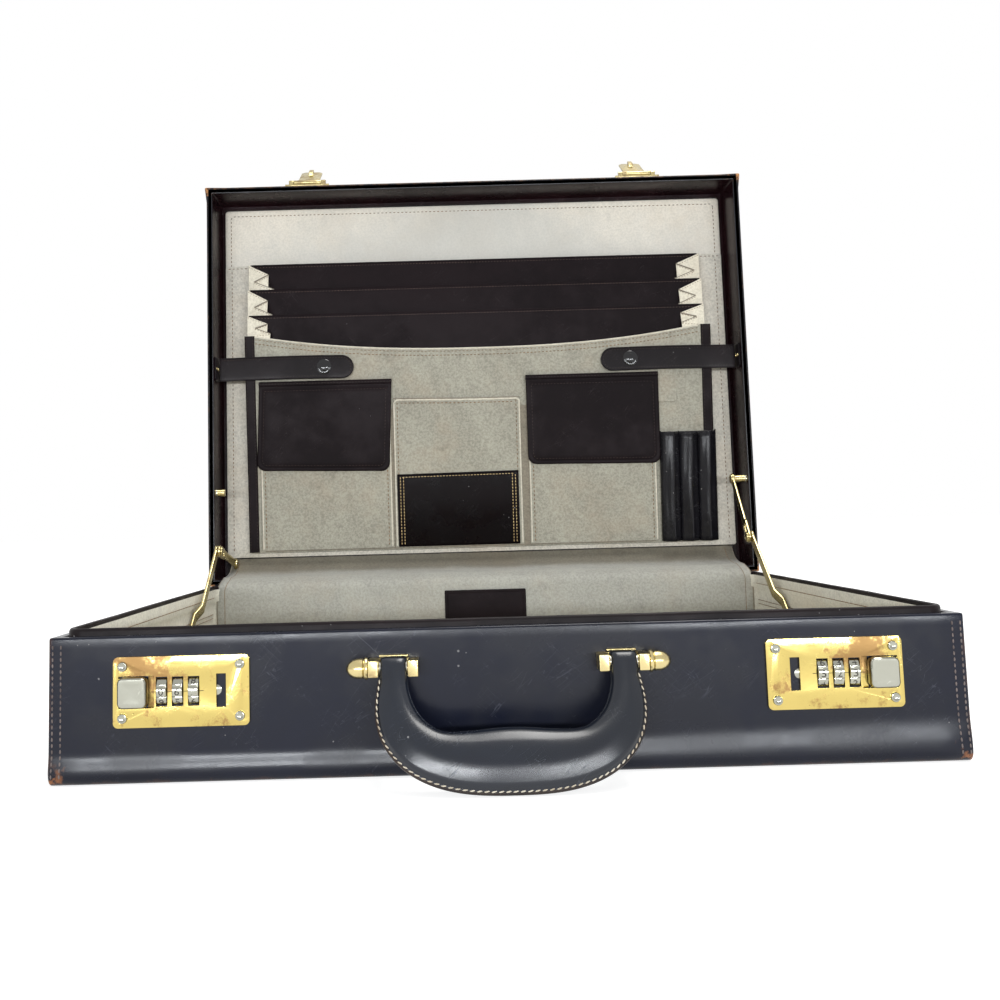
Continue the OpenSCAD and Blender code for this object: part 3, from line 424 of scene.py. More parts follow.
def eased_copy(name: str, node: str, width: float, segments: int = 2, angle: float = 30.0,
               smooth: float = 35.0) -> bpy.types.Object:
    """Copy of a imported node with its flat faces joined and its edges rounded.

    Args:
        name: name of the new piece.
        node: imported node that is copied.
        width: width of the rounding, in millimetres.
        segments: steps of the rounding.
        angle: edges sharper than this are rounded.
        smooth: angle above which an edge stays sharp in shading.
    Returns:
        The new object.
    """
    mesh = bpy.data.objects[node].data.copy()
    mesh.name = name
    mesh.materials.clear()
    work = bmesh.new()
    work.from_mesh(mesh)
    bmesh.ops.remove_doubles(work, verts=work.verts, dist=2e-6)
    bmesh.ops.dissolve_limit(work, angle_limit=np.radians(0.8), verts=work.verts, edges=work.edges)
    bmesh.ops.recalc_face_normals(work, faces=work.faces)
    edges = [e for e in work.edges if len(e.link_faces) == 2 and e.calc_face_angle(0.0) > np.radians(angle)]
    bmesh.ops.bevel(work, geom=edges, offset=width * MM, offset_type="OFFSET", segments=segments,
                    profile=0.5,
                    affect="EDGES", clamp_overlap=True)
    for face in work.faces:
        face.material_index = 0
    shade(work, smooth)
    work.to_mesh(mesh)
    work.free()
    return placed(name, mesh)


# Shader groups


class Net:
    """Adds nodes to a tree, with inputs that are values or sockets of other nodes."""

    def __init__(self, tree: bpy.types.NodeTree) -> None:
        """Works on the given tree."""
        self.tree = tree

    def add(self, kind: str, inputs: dict | None = None, **settings: object) -> bpy.types.Node:
        """Adds a node, sets its properties, then fills or links its inputs by name or number."""
        node = self.tree.nodes.new("ShaderNode" + kind)
        for key, value in settings.items():
            setattr(node, key, value)
        for key, value in (inputs or {}).items():
            if isinstance(value, bpy.types.NodeSocket):
                self.tree.links.new(value, node.inputs[key])
            else:
                node.inputs[key].default_value = value
        return node

    def math(self, operation: str, *values: object, clamp: bool = False) -> bpy.types.NodeSocket:
        """Output of a Math node."""
        return self.add("Math", dict(enumerate(values)), operation=operation, use_clamp=clamp).outputs[0]

    def times(self, first: object, second: object) -> bpy.types.NodeSocket:
        """Product of two values."""
        return self.math("MULTIPLY", first, second)

    def plus(self, first: object, second: object, clamp: bool = False) -> bpy.types.NodeSocket:
        """Sum of two values."""
        return self.math("ADD", first, second, clamp=clamp)

    def minus(self, first: object, second: object) -> bpy.types.NodeSocket:
        """First value less the second."""
        return self.math("SUBTRACT", first, second)

    def most(self, first: object, second: object) -> bpy.types.NodeSocket:
        """Greater of two values."""
        return self.math("MAXIMUM", first, second)

    def least(self, first: object, second: object) -> bpy.types.NodeSocket:
        """Smaller of two values."""
        return self.math("MINIMUM", first, second)

    def vector(self, operation: str, *values: object) -> bpy.types.NodeSocket:
        """Output of a Vector Math node."""
        return self.add("VectorMath", dict(enumerate(values)), operation=operation).outputs[0]

    def group(self, tree: bpy.types.NodeTree, **inputs: object) -> bpy.types.NodeOutputs:
        """Outputs of a node that stands for a shader group."""
        return self.add("Group", inputs, node_tree=tree).outputs

    def bump(self, height: object, strength: float, distance: float) -> bpy.types.NodeSocket:
        """Normal that follows a height."""
        return self.add("Bump", {"Strength": strength, "Distance": distance, "Height": height}).outputs[0]

    def results(self, *values: bpy.types.NodeSocket) -> bpy.types.NodeTree:
        """Ends a shader group: links the values to its outputs in their order and returns it."""
        end = self.tree.nodes.new("NodeGroupOutput")
        for k, value in enumerate(values):
            self.tree.links.new(value, end.inputs[k])
        return self.tree

    def span(self, value: object, low: float, high: float, to_low: float = 0.0, to_high: float = 1.0,
             smooth: bool = True) -> bpy.types.NodeSocket:
        """Value carried from one span to another, held at its ends."""
        kind = "SMOOTHSTEP" if smooth else "LINEAR"
        return self.add("MapRange", {0: value, 1: low, 2: high, 3: to_low, 4: to_high},
                        interpolation_type=kind,
                        clamp=True).outputs[0]

    def noise(self, vector: object, scale: object, detail: float = 3.0, rough: float = 0.5,
              warp: float = 0.0) -> bpy.types.NodeSocket:
        """Value of a noise texture."""
        return self.add("TexNoise", {"Vector": vector, "Scale": scale, "Detail": detail, "Roughness": rough,
                                     "Distortion": warp}).outputs[0]

    def blend(self, share: object, first: object, second: object, mode: str = "MIX") -> bpy.types.NodeSocket:
        """Colour between two colours."""
        node = self.add("Mix", data_type="RGBA", blend_type=mode)
        for key, value in ((0, share), (6, first), (7, second)):
            if isinstance(value, bpy.types.NodeSocket):
                self.tree.links.new(value, node.inputs[key])
            elif key == 0:
                node.inputs[key].default_value = value
            else:
                node.inputs[key].default_value = (*value, 1.0)
        return node.outputs[2]

    def stretch(self, vector: object, scale: Point, turn: Point = (0.0, 0.0, 0.0)) -> bpy.types.NodeSocket:
        """Vector turned and then scaled."""
        turned = self.add("VectorRotate", {"Vector": vector, "Rotation": turn},
                          rotation_type="EULER_XYZ").outputs[0]
        return self.vector("MULTIPLY", turned, scale)


class Effects:
    """Shader groups shared by the finishes, each built once."""

    @staticmethod
    def start(name: str, outputs: Sequence[str], **inputs: float | None) -> tuple[Net,
                                                                                  list[bpy.types.NodeSocket]]:
        """Makes an empty group; an input with a value is a number, and one without is a vector.

        Args:
            name: name of the group.
            outputs: names of its outputs, which are numbers.
            inputs: default values of its inputs, by name.
        Returns:
            The group's helper and its input sockets.
        """
        tree = bpy.data.node_groups.new(name, "ShaderNodeTree")
        for label, value in inputs.items():
            kind = "NodeSocketVector" if value is None else "NodeSocketFloat"
            socket = tree.interface.new_socket(label, in_out="INPUT", socket_type=kind)
            if value is not None:
                socket.default_value = value
        for label in outputs:
            tree.interface.new_socket(label, in_out="OUTPUT", socket_type="NodeSocketFloat")
        return Net(tree), list(tree.nodes.new("NodeGroupInput").outputs)[:len(inputs)]

    @classmethod
    @cache
    def grain(cls) -> bpy.types.NodeTree:
        """Leather grain: small pebbles from smooth cells, worn flat by slow noise."""
        net, (vector, scale) = cls.start("leather grain", ["Height"], Vector=None, Scale=900.0)
        warp = net.add("TexNoise", {"Vector": vector, "Scale": net.times(scale, 0.4), "Detail": 2.0})
        moved = net.add("VectorMath", {0: warp.outputs[1], 3: 0.0012}, operation="SCALE").outputs[0]
        moved = net.vector("ADD", vector, moved)
        cell = net.add("TexVoronoi", {"Vector": moved, "Scale": scale}, feature="SMOOTH_F1").outputs[0]
        fine = net.noise(vector, net.times(scale, 2.2), 2.0)
        slow = net.span(net.noise(vector, 38.0, 2.0), 0.35, 0.65, 0.35, 1.0)
        return net.results(net.times(net.plus(net.times(cell, -0.9), net.times(fine, 0.5)), slow))

    @classmethod
    @cache
    def specks(cls) -> bpy.types.NodeTree:
        """Scattered specks: small discs round cell points, kept only where slow noise allows."""
        net, (vector, scale, amount) = cls.start("specks", ["Mask"], Vector=None, Scale=160.0, Amount=0.5)
        cell = net.add("TexVoronoi", {"Vector": vector, "Scale": scale}).outputs
        size = net.add("SeparateColor", {0: cell[1]}).outputs[0]
        disc = net.math("LESS_THAN", cell[0], net.times(net.math("POWER", size, 3.0), 0.13))
        slow = net.noise(vector, net.times(scale, 0.12), 3.0)
        keep = net.math("GREATER_THAN", slow, net.minus(0.72, net.times(amount, 0.35)))
        return net.results(net.times(disc, keep))

    @classmethod
    @cache
    def scratches(cls) -> bpy.types.NodeTree:
        """Fine scratches: thin level lines of three noises drawn out along unlike headings, broken by noise."""
        net, (vector, scale, amount) = cls.start("scratches", ["Mask"], Vector=None, Scale=30.0, Amount=0.5)
        lines = []
        for turn, draw in (((0.3, 0.5, 0.2), (1.0, 1.0, 14.0)), ((-0.4, -0.3, 1.0), (12.0, 1.2, 1.0)),
                           ((0.9, 0.1, -0.7), (1.0, 16.0, 1.5))):
            value = net.noise(net.stretch(vector, draw, turn), scale, 1.5, 0.4)
            lines.append(net.span(net.math("ABSOLUTE", net.minus(value, 0.5)), 0.004, 0.0))
        total = net.most(net.most(lines[0], lines[1]), lines[2])
        broken = net.span(net.noise(vector, net.times(scale, 1.7), 3.0), 0.5, 0.62)
        return net.results(net.times(net.times(total, broken), amount))

    @classmethod
    @cache
    def mottle(cls) -> bpy.types.NodeTree:
        """Uneven patches: two noises of unlike size, mixed and carried to a mask between two levels."""
        net, (vector, scale, low, high) = cls.start("mottling", ["Mask"], Vector=None, Scale=20.0, Low=0.4,
                                                    High=0.6)
        wide = net.noise(vector, scale, 4.0, 0.55, 0.3)
        close = net.noise(vector, net.times(scale, 5.3), 4.0, 0.6)
        return net.results(net.span(net.plus(net.times(wide, 0.7), net.times(close, 0.3)), low, high))

    @classmethod
    @cache
    def box_wear(cls) -> bpy.types.NodeTree:
        """Wear near the edges and corners of a box.

        The distance to the three pairs of faces is the half size less the distance from the middle. At an
        edge the middle one of the three is small, and at a corner the greatest is. Noise makes the reach
        uneven.
        """
        net, (vector, middle, half, reach) = cls.start("box wear", ["Edge", "Corner"], Vector=None,
                                                       Middle=None, Half=None, Reach=0.003)
        off = net.vector("ABSOLUTE", net.vector("SUBTRACT", vector, middle))
        x, y, z = net.add("SeparateXYZ", {0: net.vector("SUBTRACT", half, off)}).outputs[:3]
        low, high = net.least(x, y), net.most(x, y)
        edge = net.most(low, net.least(high, z))
        corner = net.most(high, z)
        rough = net.times(reach, net.span(net.noise(vector, 130.0, 4.0, 0.65), 0.35, 0.7, 0.15, 1.6))
        return net.results(net.span(net.math("DIVIDE", edge, rough), 1.0, 0.2),
                           net.span(net.math("DIVIDE", corner, net.times(rough, 3.5)), 1.0, 0.2))

    @classmethod
    @cache
    def nap(cls) -> bpy.types.NodeTree:
        """Suede nap: fine fibres from drawn-out noise, and brushed patches that lie lighter or darker."""
        net, (vector, scale) = cls.start("suede nap", ["Height", "Tone"], Vector=None, Scale=1200.0)
        fibre = net.noise(net.stretch(vector, (1.0, 1.0, 0.45)), scale, 4.0, 0.7, 0.4)
        flock = net.noise(vector, net.times(scale, 0.5), 5.0, 0.7, 0.3)
        brushed = net.noise(net.stretch(vector, (1.6, 1.0, 0.7), (0.0, 0.4, 0.0)), 26.0, 4.0, 0.6, 0.8)
        lying = net.times(net.span(flock, 0.36, 0.62), 0.68)
        tone = net.plus(lying, net.times(net.span(brushed, 0.3, 0.7), 0.32))
        return net.results(net.plus(net.times(fibre, 0.6), net.times(flock, 0.6)), tone)


# Finishes


@dataclass(frozen=True)
class Finish:
    """A finish that makes its material once."""

    name: str

    def material(self) -> bpy.types.Material:
        """The finish's material, made on first use."""
        found = bpy.data.materials.get(self.name)
        if found:
            return found
        made = bpy.data.materials.new(self.name)
        made.use_nodes = True
        net = Net(made.node_tree)
        shader = made.node_tree.nodes["Principled BSDF"]
        vector = net.add("TexCoord").outputs["Object"]
        self.dress(net, shader, vector)
        return made

    def dress(self, net: Net, shader: bpy.types.Node, vector: bpy.types.NodeSocket) -> None:
        """Adds this finish's nodes; each kind of finish has its own."""
        raise NotImplementedError

    @staticmethod
    def join(net: Net, shader: bpy.types.Node, **sockets: object) -> None:
        """Links sockets to the shader, or sets plain values, by input name with _ for a space."""
        for key, value in sockets.items():
            target = shader.inputs[key.replace("_", " ")]
            if isinstance(value, bpy.types.NodeSocket):
                net.tree.links.new(value, target)
            else:
                target.default_value = value


@dataclass(frozen=True)
class Leather(Finish):
    """Polished hide: grain, patches, specks of dust, scratches, and wear where the box's edges are rubbed."""

    base: Colour
    deep: Colour
    worn: Colour = (0.30, 0.12, 0.05)
    rough: float = 0.4
    spread: float = 0.12
    grain_scale: float = 1500.0
    grain_depth: float = 0.00012
    scratch: float = 0.3
    speck: float = 0.3
    specular: float = 0.4
    middle: Point | None = None
    half: Point = (0.2, 0.2, 0.2)
    reach: float = 0.0022
    rub: float = 0.12

    def dress(self, net: Net, shader: bpy.types.Node, vector: bpy.types.NodeSocket) -> None:
        """Colour from two tones and wear; roughness from patches and wear; bump from grain and scratches."""
        patch = net.group(Effects.mottle(), Vector=vector, Scale=14.0, Low=0.38, High=0.62)[0]
        grain = net.group(Effects.grain(), Vector=vector, Scale=self.grain_scale)[0]
        scratch = net.group(Effects.scratches(), Vector=vector, Scale=26.0, Amount=self.scratch)[0]
        speck = net.group(Effects.specks(), Vector=vector, Scale=210.0, Amount=self.speck)[0]
        pale = tuple(min(1.0, 3.2 * c + 0.05) for c in self.base)
        colour = net.blend(patch, self.base, self.deep)
        colour = net.blend(net.times(scratch, 0.55), colour, pale)
        colour = net.blend(net.times(speck, 0.5), colour, (0.32, 0.31, 0.31))
        rough = net.span(patch, 0.0, 1.0, self.rough - self.spread / 2, self.rough + self.spread / 2)
        rough = net.plus(rough, net.times(net.most(scratch, speck), 0.25), clamp=True)
        if self.middle is not None:
            edge, corner = net.group(Effects.box_wear(), Vector=vector, Middle=self.middle, Half=self.half,
                                     Reach=self.reach)[:2]
            rubbed = net.most(net.times(edge, self.rub), corner)
            colour = net.blend(rubbed, colour, self.worn)
            rough = net.plus(rough, net.times(rubbed, 0.25), clamp=True)
        bump = net.bump(net.minus(grain, net.times(scratch, 0.6)), 0.55, self.grain_depth)
        self.join(net, shader, Base_Color=colour, Roughness=rough, Normal=bump,
                  Specular_IOR_Level=self.specular)


@dataclass(frozen=True)
class Suede(Finish):
    """Pale suede: brushed fibres, warm patches, faint rubbed marks, a soft sheen, and optional painted shade."""

    base: Colour
    shade: Colour
    warm: Colour
    marks: float = 0.35
    depth: float = 0.00035
    # painted shade: colour of a cool, darker mound round the middle at 0.35 m height, where the dividers shade
    # the board
    painted_shade_colour: Colour | None = None
    # painted shadow: heights between which the colour darkens, towards the strip under the board's lower edge
    painted_shadow_heights: tuple[float, float] | None = None

    def dress(self, net: Net, shader: bpy.types.Node, vector: bpy.types.NodeSocket) -> None:
        """Colour from nap, warm patches, grey marks and optional painted shade; bump from the fibres."""
        height, tone = net.group(Effects.nap(), Vector=vector, Scale=1100.0)[:2]
        warm = net.group(Effects.mottle(), Vector=vector, Scale=15.0, Low=0.45, High=0.66)[0]
        mark = net.group(Effects.mottle(), Vector=vector, Scale=60.0, Low=0.56, High=0.72)[0]
        speck = net.group(Effects.specks(), Vector=vector, Scale=260.0, Amount=0.5)[0]
        grey = tuple(0.62 * c for c in self.shade)
        colour = net.blend(tone, self.shade, self.base)
        colour = net.blend(net.times(warm, 0.28), colour, self.warm)
        colour = net.blend(net.times(mark, self.marks), colour, grey)
        colour = net.blend(net.times(speck, 0.4), colour, grey)
        x, _, z = net.add("SeparateXYZ", {0: vector}).outputs[:3]
        drift = net.times(net.minus(net.noise(vector, 22.0, 5.0, 0.65), 0.5), 0.11)
        # Painted shade: a cool, darker mound, wide by the dividers' tops and narrow above, where they shade the
        # board
        if self.painted_shade_colour is not None:
            side = net.times(net.math("ABSOLUTE", x), 0.45)
            high = net.times(net.math("ABSOLUTE", net.minus(z, 0.350)), 1.3)
            away = net.plus(net.plus(side, high), drift)
            colour = net.blend(net.times(net.span(away, 0.150, 0.03), 0.6), colour, self.painted_shade_colour)
        # Painted shadow: darker above the lower height, where the board's lower edge shades the cloth
        if self.painted_shadow_heights is not None:
            low = net.span(net.plus(z, net.times(drift, 0.05)), *self.painted_shadow_heights)
            dull = net.blend(1.0, colour, (0.50, 0.46, 0.40), "MULTIPLY")
            colour = net.blend(low, colour, dull)
        self.join(net, shader, Base_Color=colour, Roughness=net.span(tone, 0.0, 1.0, 0.97, 0.88),
                  Normal=net.bump(height, 0.7, self.depth), Specular_IOR_Level=0.12, Sheen_Weight=0.18,
                  Sheen_Roughness=0.5)


@dataclass(frozen=True)
class Metal(Finish):
    """Plated metal: cloudy polish, tarnish patches, pits and fine scratches."""

    base: Colour
    tarnish: Colour
    tarnish_low: float = 0.58
    tarnish_high: float = 0.7
    tarnish_share: float = 0.8
    rough: float = 0.2
    scale: float = 60.0
    pits: float = 0.6
    pull: Point | None = None
    pull_reach: float = 0.02

    def dress(self, net: Net, shader: bpy.types.Node, vector: bpy.types.NodeSocket) -> None:
        """Colour and roughness from tarnish, which may be drawn to a point; bump from pits and scratches."""
        low: object = self.tarnish_low
        high: object = self.tarnish_high
        if self.pull is not None:
            flip = net.vector("MULTIPLY", vector, (0.0, 1.0, 1.0))
            side = net.vector("MULTIPLY", net.vector("ABSOLUTE", vector), (1.0, 0.0, 0.0))
            folded = net.vector("ADD", flip, side)
            away = net.add("VectorMath", {0: folded, 1: self.pull}, operation="DISTANCE").outputs["Value"]
            near = net.span(away, self.pull_reach, 0.0)
            low = net.minus(self.tarnish_low, net.times(near, 0.24))
            high = net.minus(self.tarnish_high, net.times(near, 0.2))
        patch = net.group(Effects.mottle(), Vector=vector, Scale=self.scale, Low=low, High=high)[0]
        pit = net.group(Effects.specks(), Vector=vector, Scale=520.0, Amount=self.pits)[0]
        scratch = net.group(Effects.scratches(), Vector=vector, Scale=55.0, Amount=0.35)[0]
        cloud = net.noise(vector, 45.0, 4.0)
        dull = net.most(net.times(patch, self.tarnish_share), net.times(pit, 0.85))
        colour = net.blend(net.span(cloud, 0.3, 0.7), self.base, tuple(0.86 * c for c in self.base))
        colour = net.blend(dull, colour, self.tarnish)
        rough = net.plus(net.span(cloud, 0.3, 0.7, self.rough - 0.05, self.rough + 0.07),
                         net.plus(net.times(dull, 0.3), net.times(scratch, 0.15)))
        bump = net.bump(net.minus(net.times(cloud, 0.5), net.most(pit, scratch)), 0.3, 0.00006)
        self.join(net, shader, Base_Color=colour, Roughness=rough,
                  Metallic=net.span(dull, 0.0, 1.0, 1.0, 0.65),
                  Normal=bump)


@dataclass(frozen=True)
class Thread(Finish):
    """Waxed sewing thread: fine twist and uneven dye."""

    base: Colour
    dark: Colour

    def dress(self, net: Net, shader: bpy.types.Node, vector: bpy.types.NodeSocket) -> None:
        """Colour from noise in two sizes, bump from the twist."""
        twist = net.noise(net.stretch(vector, (1.0, 1.0, 1.0), (0.6, 0.6, 0.6)), 2600.0, 2.0)
        dye = net.group(Effects.mottle(), Vector=vector, Scale=60.0, Low=0.35, High=0.65)[0]
        self.join(net, shader, Base_Color=net.blend(dye, self.base, self.dark),
                  Roughness=net.span(twist, 0.3, 0.7, 0.55, 0.8), Normal=net.bump(twist, 0.6, 0.0001),
                  Specular_IOR_Level=0.3)


HIDE = Leather("navy black hide", (0.0065, 0.0082, 0.0180), (0.0040, 0.0050, 0.0110), rough=0.23,
               spread=0.09, speck=0.45,
               scratch=0.5, grain_depth=0.00003, specular=0.25, middle=(0.0, 0.0, 0.0455),
               half=(0.225, 0.167, 0.0455))
LID_HIDE = Leather("navy black hide of the lid", (0.0100, 0.0100, 0.0140), (0.0065, 0.0065, 0.0090),
                   rough=0.30,
                   middle=(0.0, 0.1918, 0.2408), half=(0.2265, 0.022, 0.1675), reach=0.003, rub=0.16,
                   specular=0.25,
                   worn=(0.42, 0.20, 0.08))
LIP_HIDE = Leather("lip leather", (0.0105, 0.0065, 0.0075), (0.0065, 0.0048, 0.0055), rough=0.42, speck=0.7,
                   specular=0.12,
                   middle=(0.0, 0.0, 0.069), half=(0.2196, 0.1616, 0.006), reach=0.0005,
                   worn=(0.07, 0.033, 0.022))
RIM_HIDE = Leather("rim leather", (0.020, 0.010, 0.009), (0.009, 0.006, 0.006), rough=0.5, speck=0.5,
                   specular=0.2)
HANDLE_HIDE = Leather("handle leather", (0.0070, 0.0100, 0.0175), (0.0045, 0.0065, 0.0115), rough=0.22,
                      spread=0.06, scratch=0.6,
                      speck=0.5, grain_depth=0.00003, specular=0.45)
FLANGE_HIDE = Leather("handle edge leather", (0.026, 0.016, 0.012), (0.012, 0.009, 0.009), rough=0.5,
                      specular=0.25)
MAROON = Leather("maroon lining leather", (0.0170, 0.0062, 0.0080), (0.0085, 0.0038, 0.0046), rough=0.24,
                 scratch=0.9,
                 speck=0.5, grain_depth=0.00003, specular=0.06)
PLUM = Leather("plum file leather", (0.0118, 0.0076, 0.0088), (0.0074, 0.0050, 0.0058), rough=0.42,
               scratch=0.35,
               speck=0.15, grain_scale=1100.0, specular=0.05)
STRAP_HIDE = Leather("strap leather", (0.0125, 0.0092, 0.0104), (0.0070, 0.0052, 0.0060), rough=0.34,
                     scratch=0.8,
                     speck=0.5, specular=0.09)
PEN_HIDE = Leather("pen holder leather", (0.0090, 0.0085, 0.0110), (0.0050, 0.0048, 0.0060), rough=0.24,
                   scratch=0.9,
                   speck=0.6, specular=0.22)
GLOSS_HIDE = Leather("glossy card pocket leather", (0.0040, 0.0020, 0.0025), (0.0022, 0.0012, 0.0015),
                     rough=0.18,
                     spread=0.08, scratch=0.4, grain_depth=0.00004, specular=0.08)
CAP_BLACK = Leather("black snap enamel", (0.006, 0.006, 0.007), (0.004, 0.004, 0.005), rough=0.1,
                    spread=0.05,
                    grain_depth=0.00002, specular=0.45, scratch=0.7)
SUEDE = Suede("pale suede", (0.42, 0.405, 0.335), (0.255, 0.243, 0.20), (0.42, 0.33, 0.24), 0.5)
BACK_SUEDE = Suede("cream suede of the backing", (0.76, 0.72, 0.63), (0.50, 0.47, 0.41), (0.58, 0.48, 0.36),
                   0.4)
# Darker suede for painted shade: between the pockets, in shadow lines over their upper edges and in the gussets'
# creases; it also edges the hinge cloth
GAP_SUEDE = Suede("shaded suede between the pockets", (0.29, 0.26, 0.205), (0.19, 0.165, 0.13),
                  (0.26, 0.19, 0.12), 0.5)
EDGE_SUEDE = Suede("pale cut edge", (0.70, 0.66, 0.55), (0.52, 0.48, 0.40), (0.54, 0.44, 0.32), 0.2)
# The board's painted shade darkens and cools its middle just above the dividers
BOARD_SUEDE = Suede("grey suede of the board", (0.92, 0.855, 0.745), (0.74, 0.69, 0.595), (0.70, 0.59, 0.45),
                    0.25,
                    painted_shade_colour=(0.50, 0.51, 0.49))
TRAY_SUEDE = Suede("pale suede of the tray", (0.74, 0.72, 0.62), (0.54, 0.52, 0.45), (0.58, 0.49, 0.37),
                   0.35)
# Its painted shadow darkens the upper strip under the board's lower edge
CLOTH_SUEDE = Suede("grey suede over the hinge", (0.41, 0.405, 0.36), (0.29, 0.287, 0.257),
                    (0.38, 0.33, 0.26), 0.5,
                    painted_shadow_heights=(0.0805, 0.0845))
CREAM = Suede("cream gusset suede", (0.84, 0.79, 0.66), (0.62, 0.57, 0.46), (0.62, 0.51, 0.37), 0.3)
GOLD = Metal("gold lock plate", (0.56, 0.44, 0.145), (0.20, 0.095, 0.03), 0.54, 0.68, 0.85, 0.16, 90.0, 0.9,
             (0.1745, -0.1686, 0.0535), 0.024)
BRASS = Metal("pale brass", (0.60, 0.50, 0.25), (0.26, 0.17, 0.08), 0.52, 0.70, 0.75, 0.22, 90.0, 0.8)
NICKEL = Metal("silvery nickel", (0.38, 0.38, 0.325), (0.30, 0.24, 0.15), 0.6, 0.76, 0.55, 0.14, 120.0, 0.8)
# Near-black steel: on the lock cases it is painted shade for the inside of the slots
DARK_STEEL_AND_SLOT_SHADE = Metal("dark sheet steel", (0.035, 0.032, 0.03), (0.02, 0.012, 0.008), rough=0.5)
AGED_BRASS = Metal("aged brass", (0.52, 0.44, 0.22), (0.20, 0.14, 0.07), 0.45, 0.64, 0.85, 0.28, 110.0, 0.9)
PIN_STEEL = Metal("pin steel", (0.42, 0.40, 0.36), (0.18, 0.12, 0.07), rough=0.32)
TAN = Thread("tan thread", (0.25, 0.145, 0.07), (0.14, 0.085, 0.045))
SEAM = Thread("grey brown thread", (0.185, 0.15, 0.14), (0.085, 0.066, 0.062))
GOLDEN = Thread("golden thread", (0.62, 0.46, 0.22), (0.38, 0.26, 0.12))
PALE = Thread("pale thread", (0.66, 0.60, 0.48), (0.40, 0.33, 0.24))
DARK = Thread("dark thread", (0.045, 0.028, 0.022), (0.02, 0.014, 0.013))
RUST = Thread("reddish thread", (0.125, 0.078, 0.060), (0.055, 0.038, 0.032))
INK = Thread("dial figure paint", (0.012, 0.010, 0.009), (0.03, 0.025, 0.02))


def dress(piece: bpy.types.Object, body: str, finishes: Sequence[Finish],
          replaces: Sequence[str] = ()) -> bpy.types.Object:
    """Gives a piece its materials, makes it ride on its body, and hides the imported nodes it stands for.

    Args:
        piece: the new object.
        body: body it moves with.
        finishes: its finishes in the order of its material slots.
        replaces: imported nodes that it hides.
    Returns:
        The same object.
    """
    for finish in finishes:
        piece.data.materials.append(finish.material())
    if body:
        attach(piece, body)
    if replaces:
        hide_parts(*replaces)
    LOG.info("%s: %d faces", piece.name, len(piece.data.polygons))
    return piece


def refinish(node: str, finish: Finish) -> None:
    """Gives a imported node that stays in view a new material."""
    thing = bpy.data.objects[node]
    thing.data.materials.clear()
    thing.data.materials.append(finish.material())
    LOG.info("%s keeps its packed shape", node)


def eased_piece(name: str, node: str, body: str, finish: Metal, width: float, segments: int = 2) -> None:
    """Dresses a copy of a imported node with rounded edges, which takes the node's place."""
    dress(eased_copy(name, node, width, segments), body, [finish], [node])


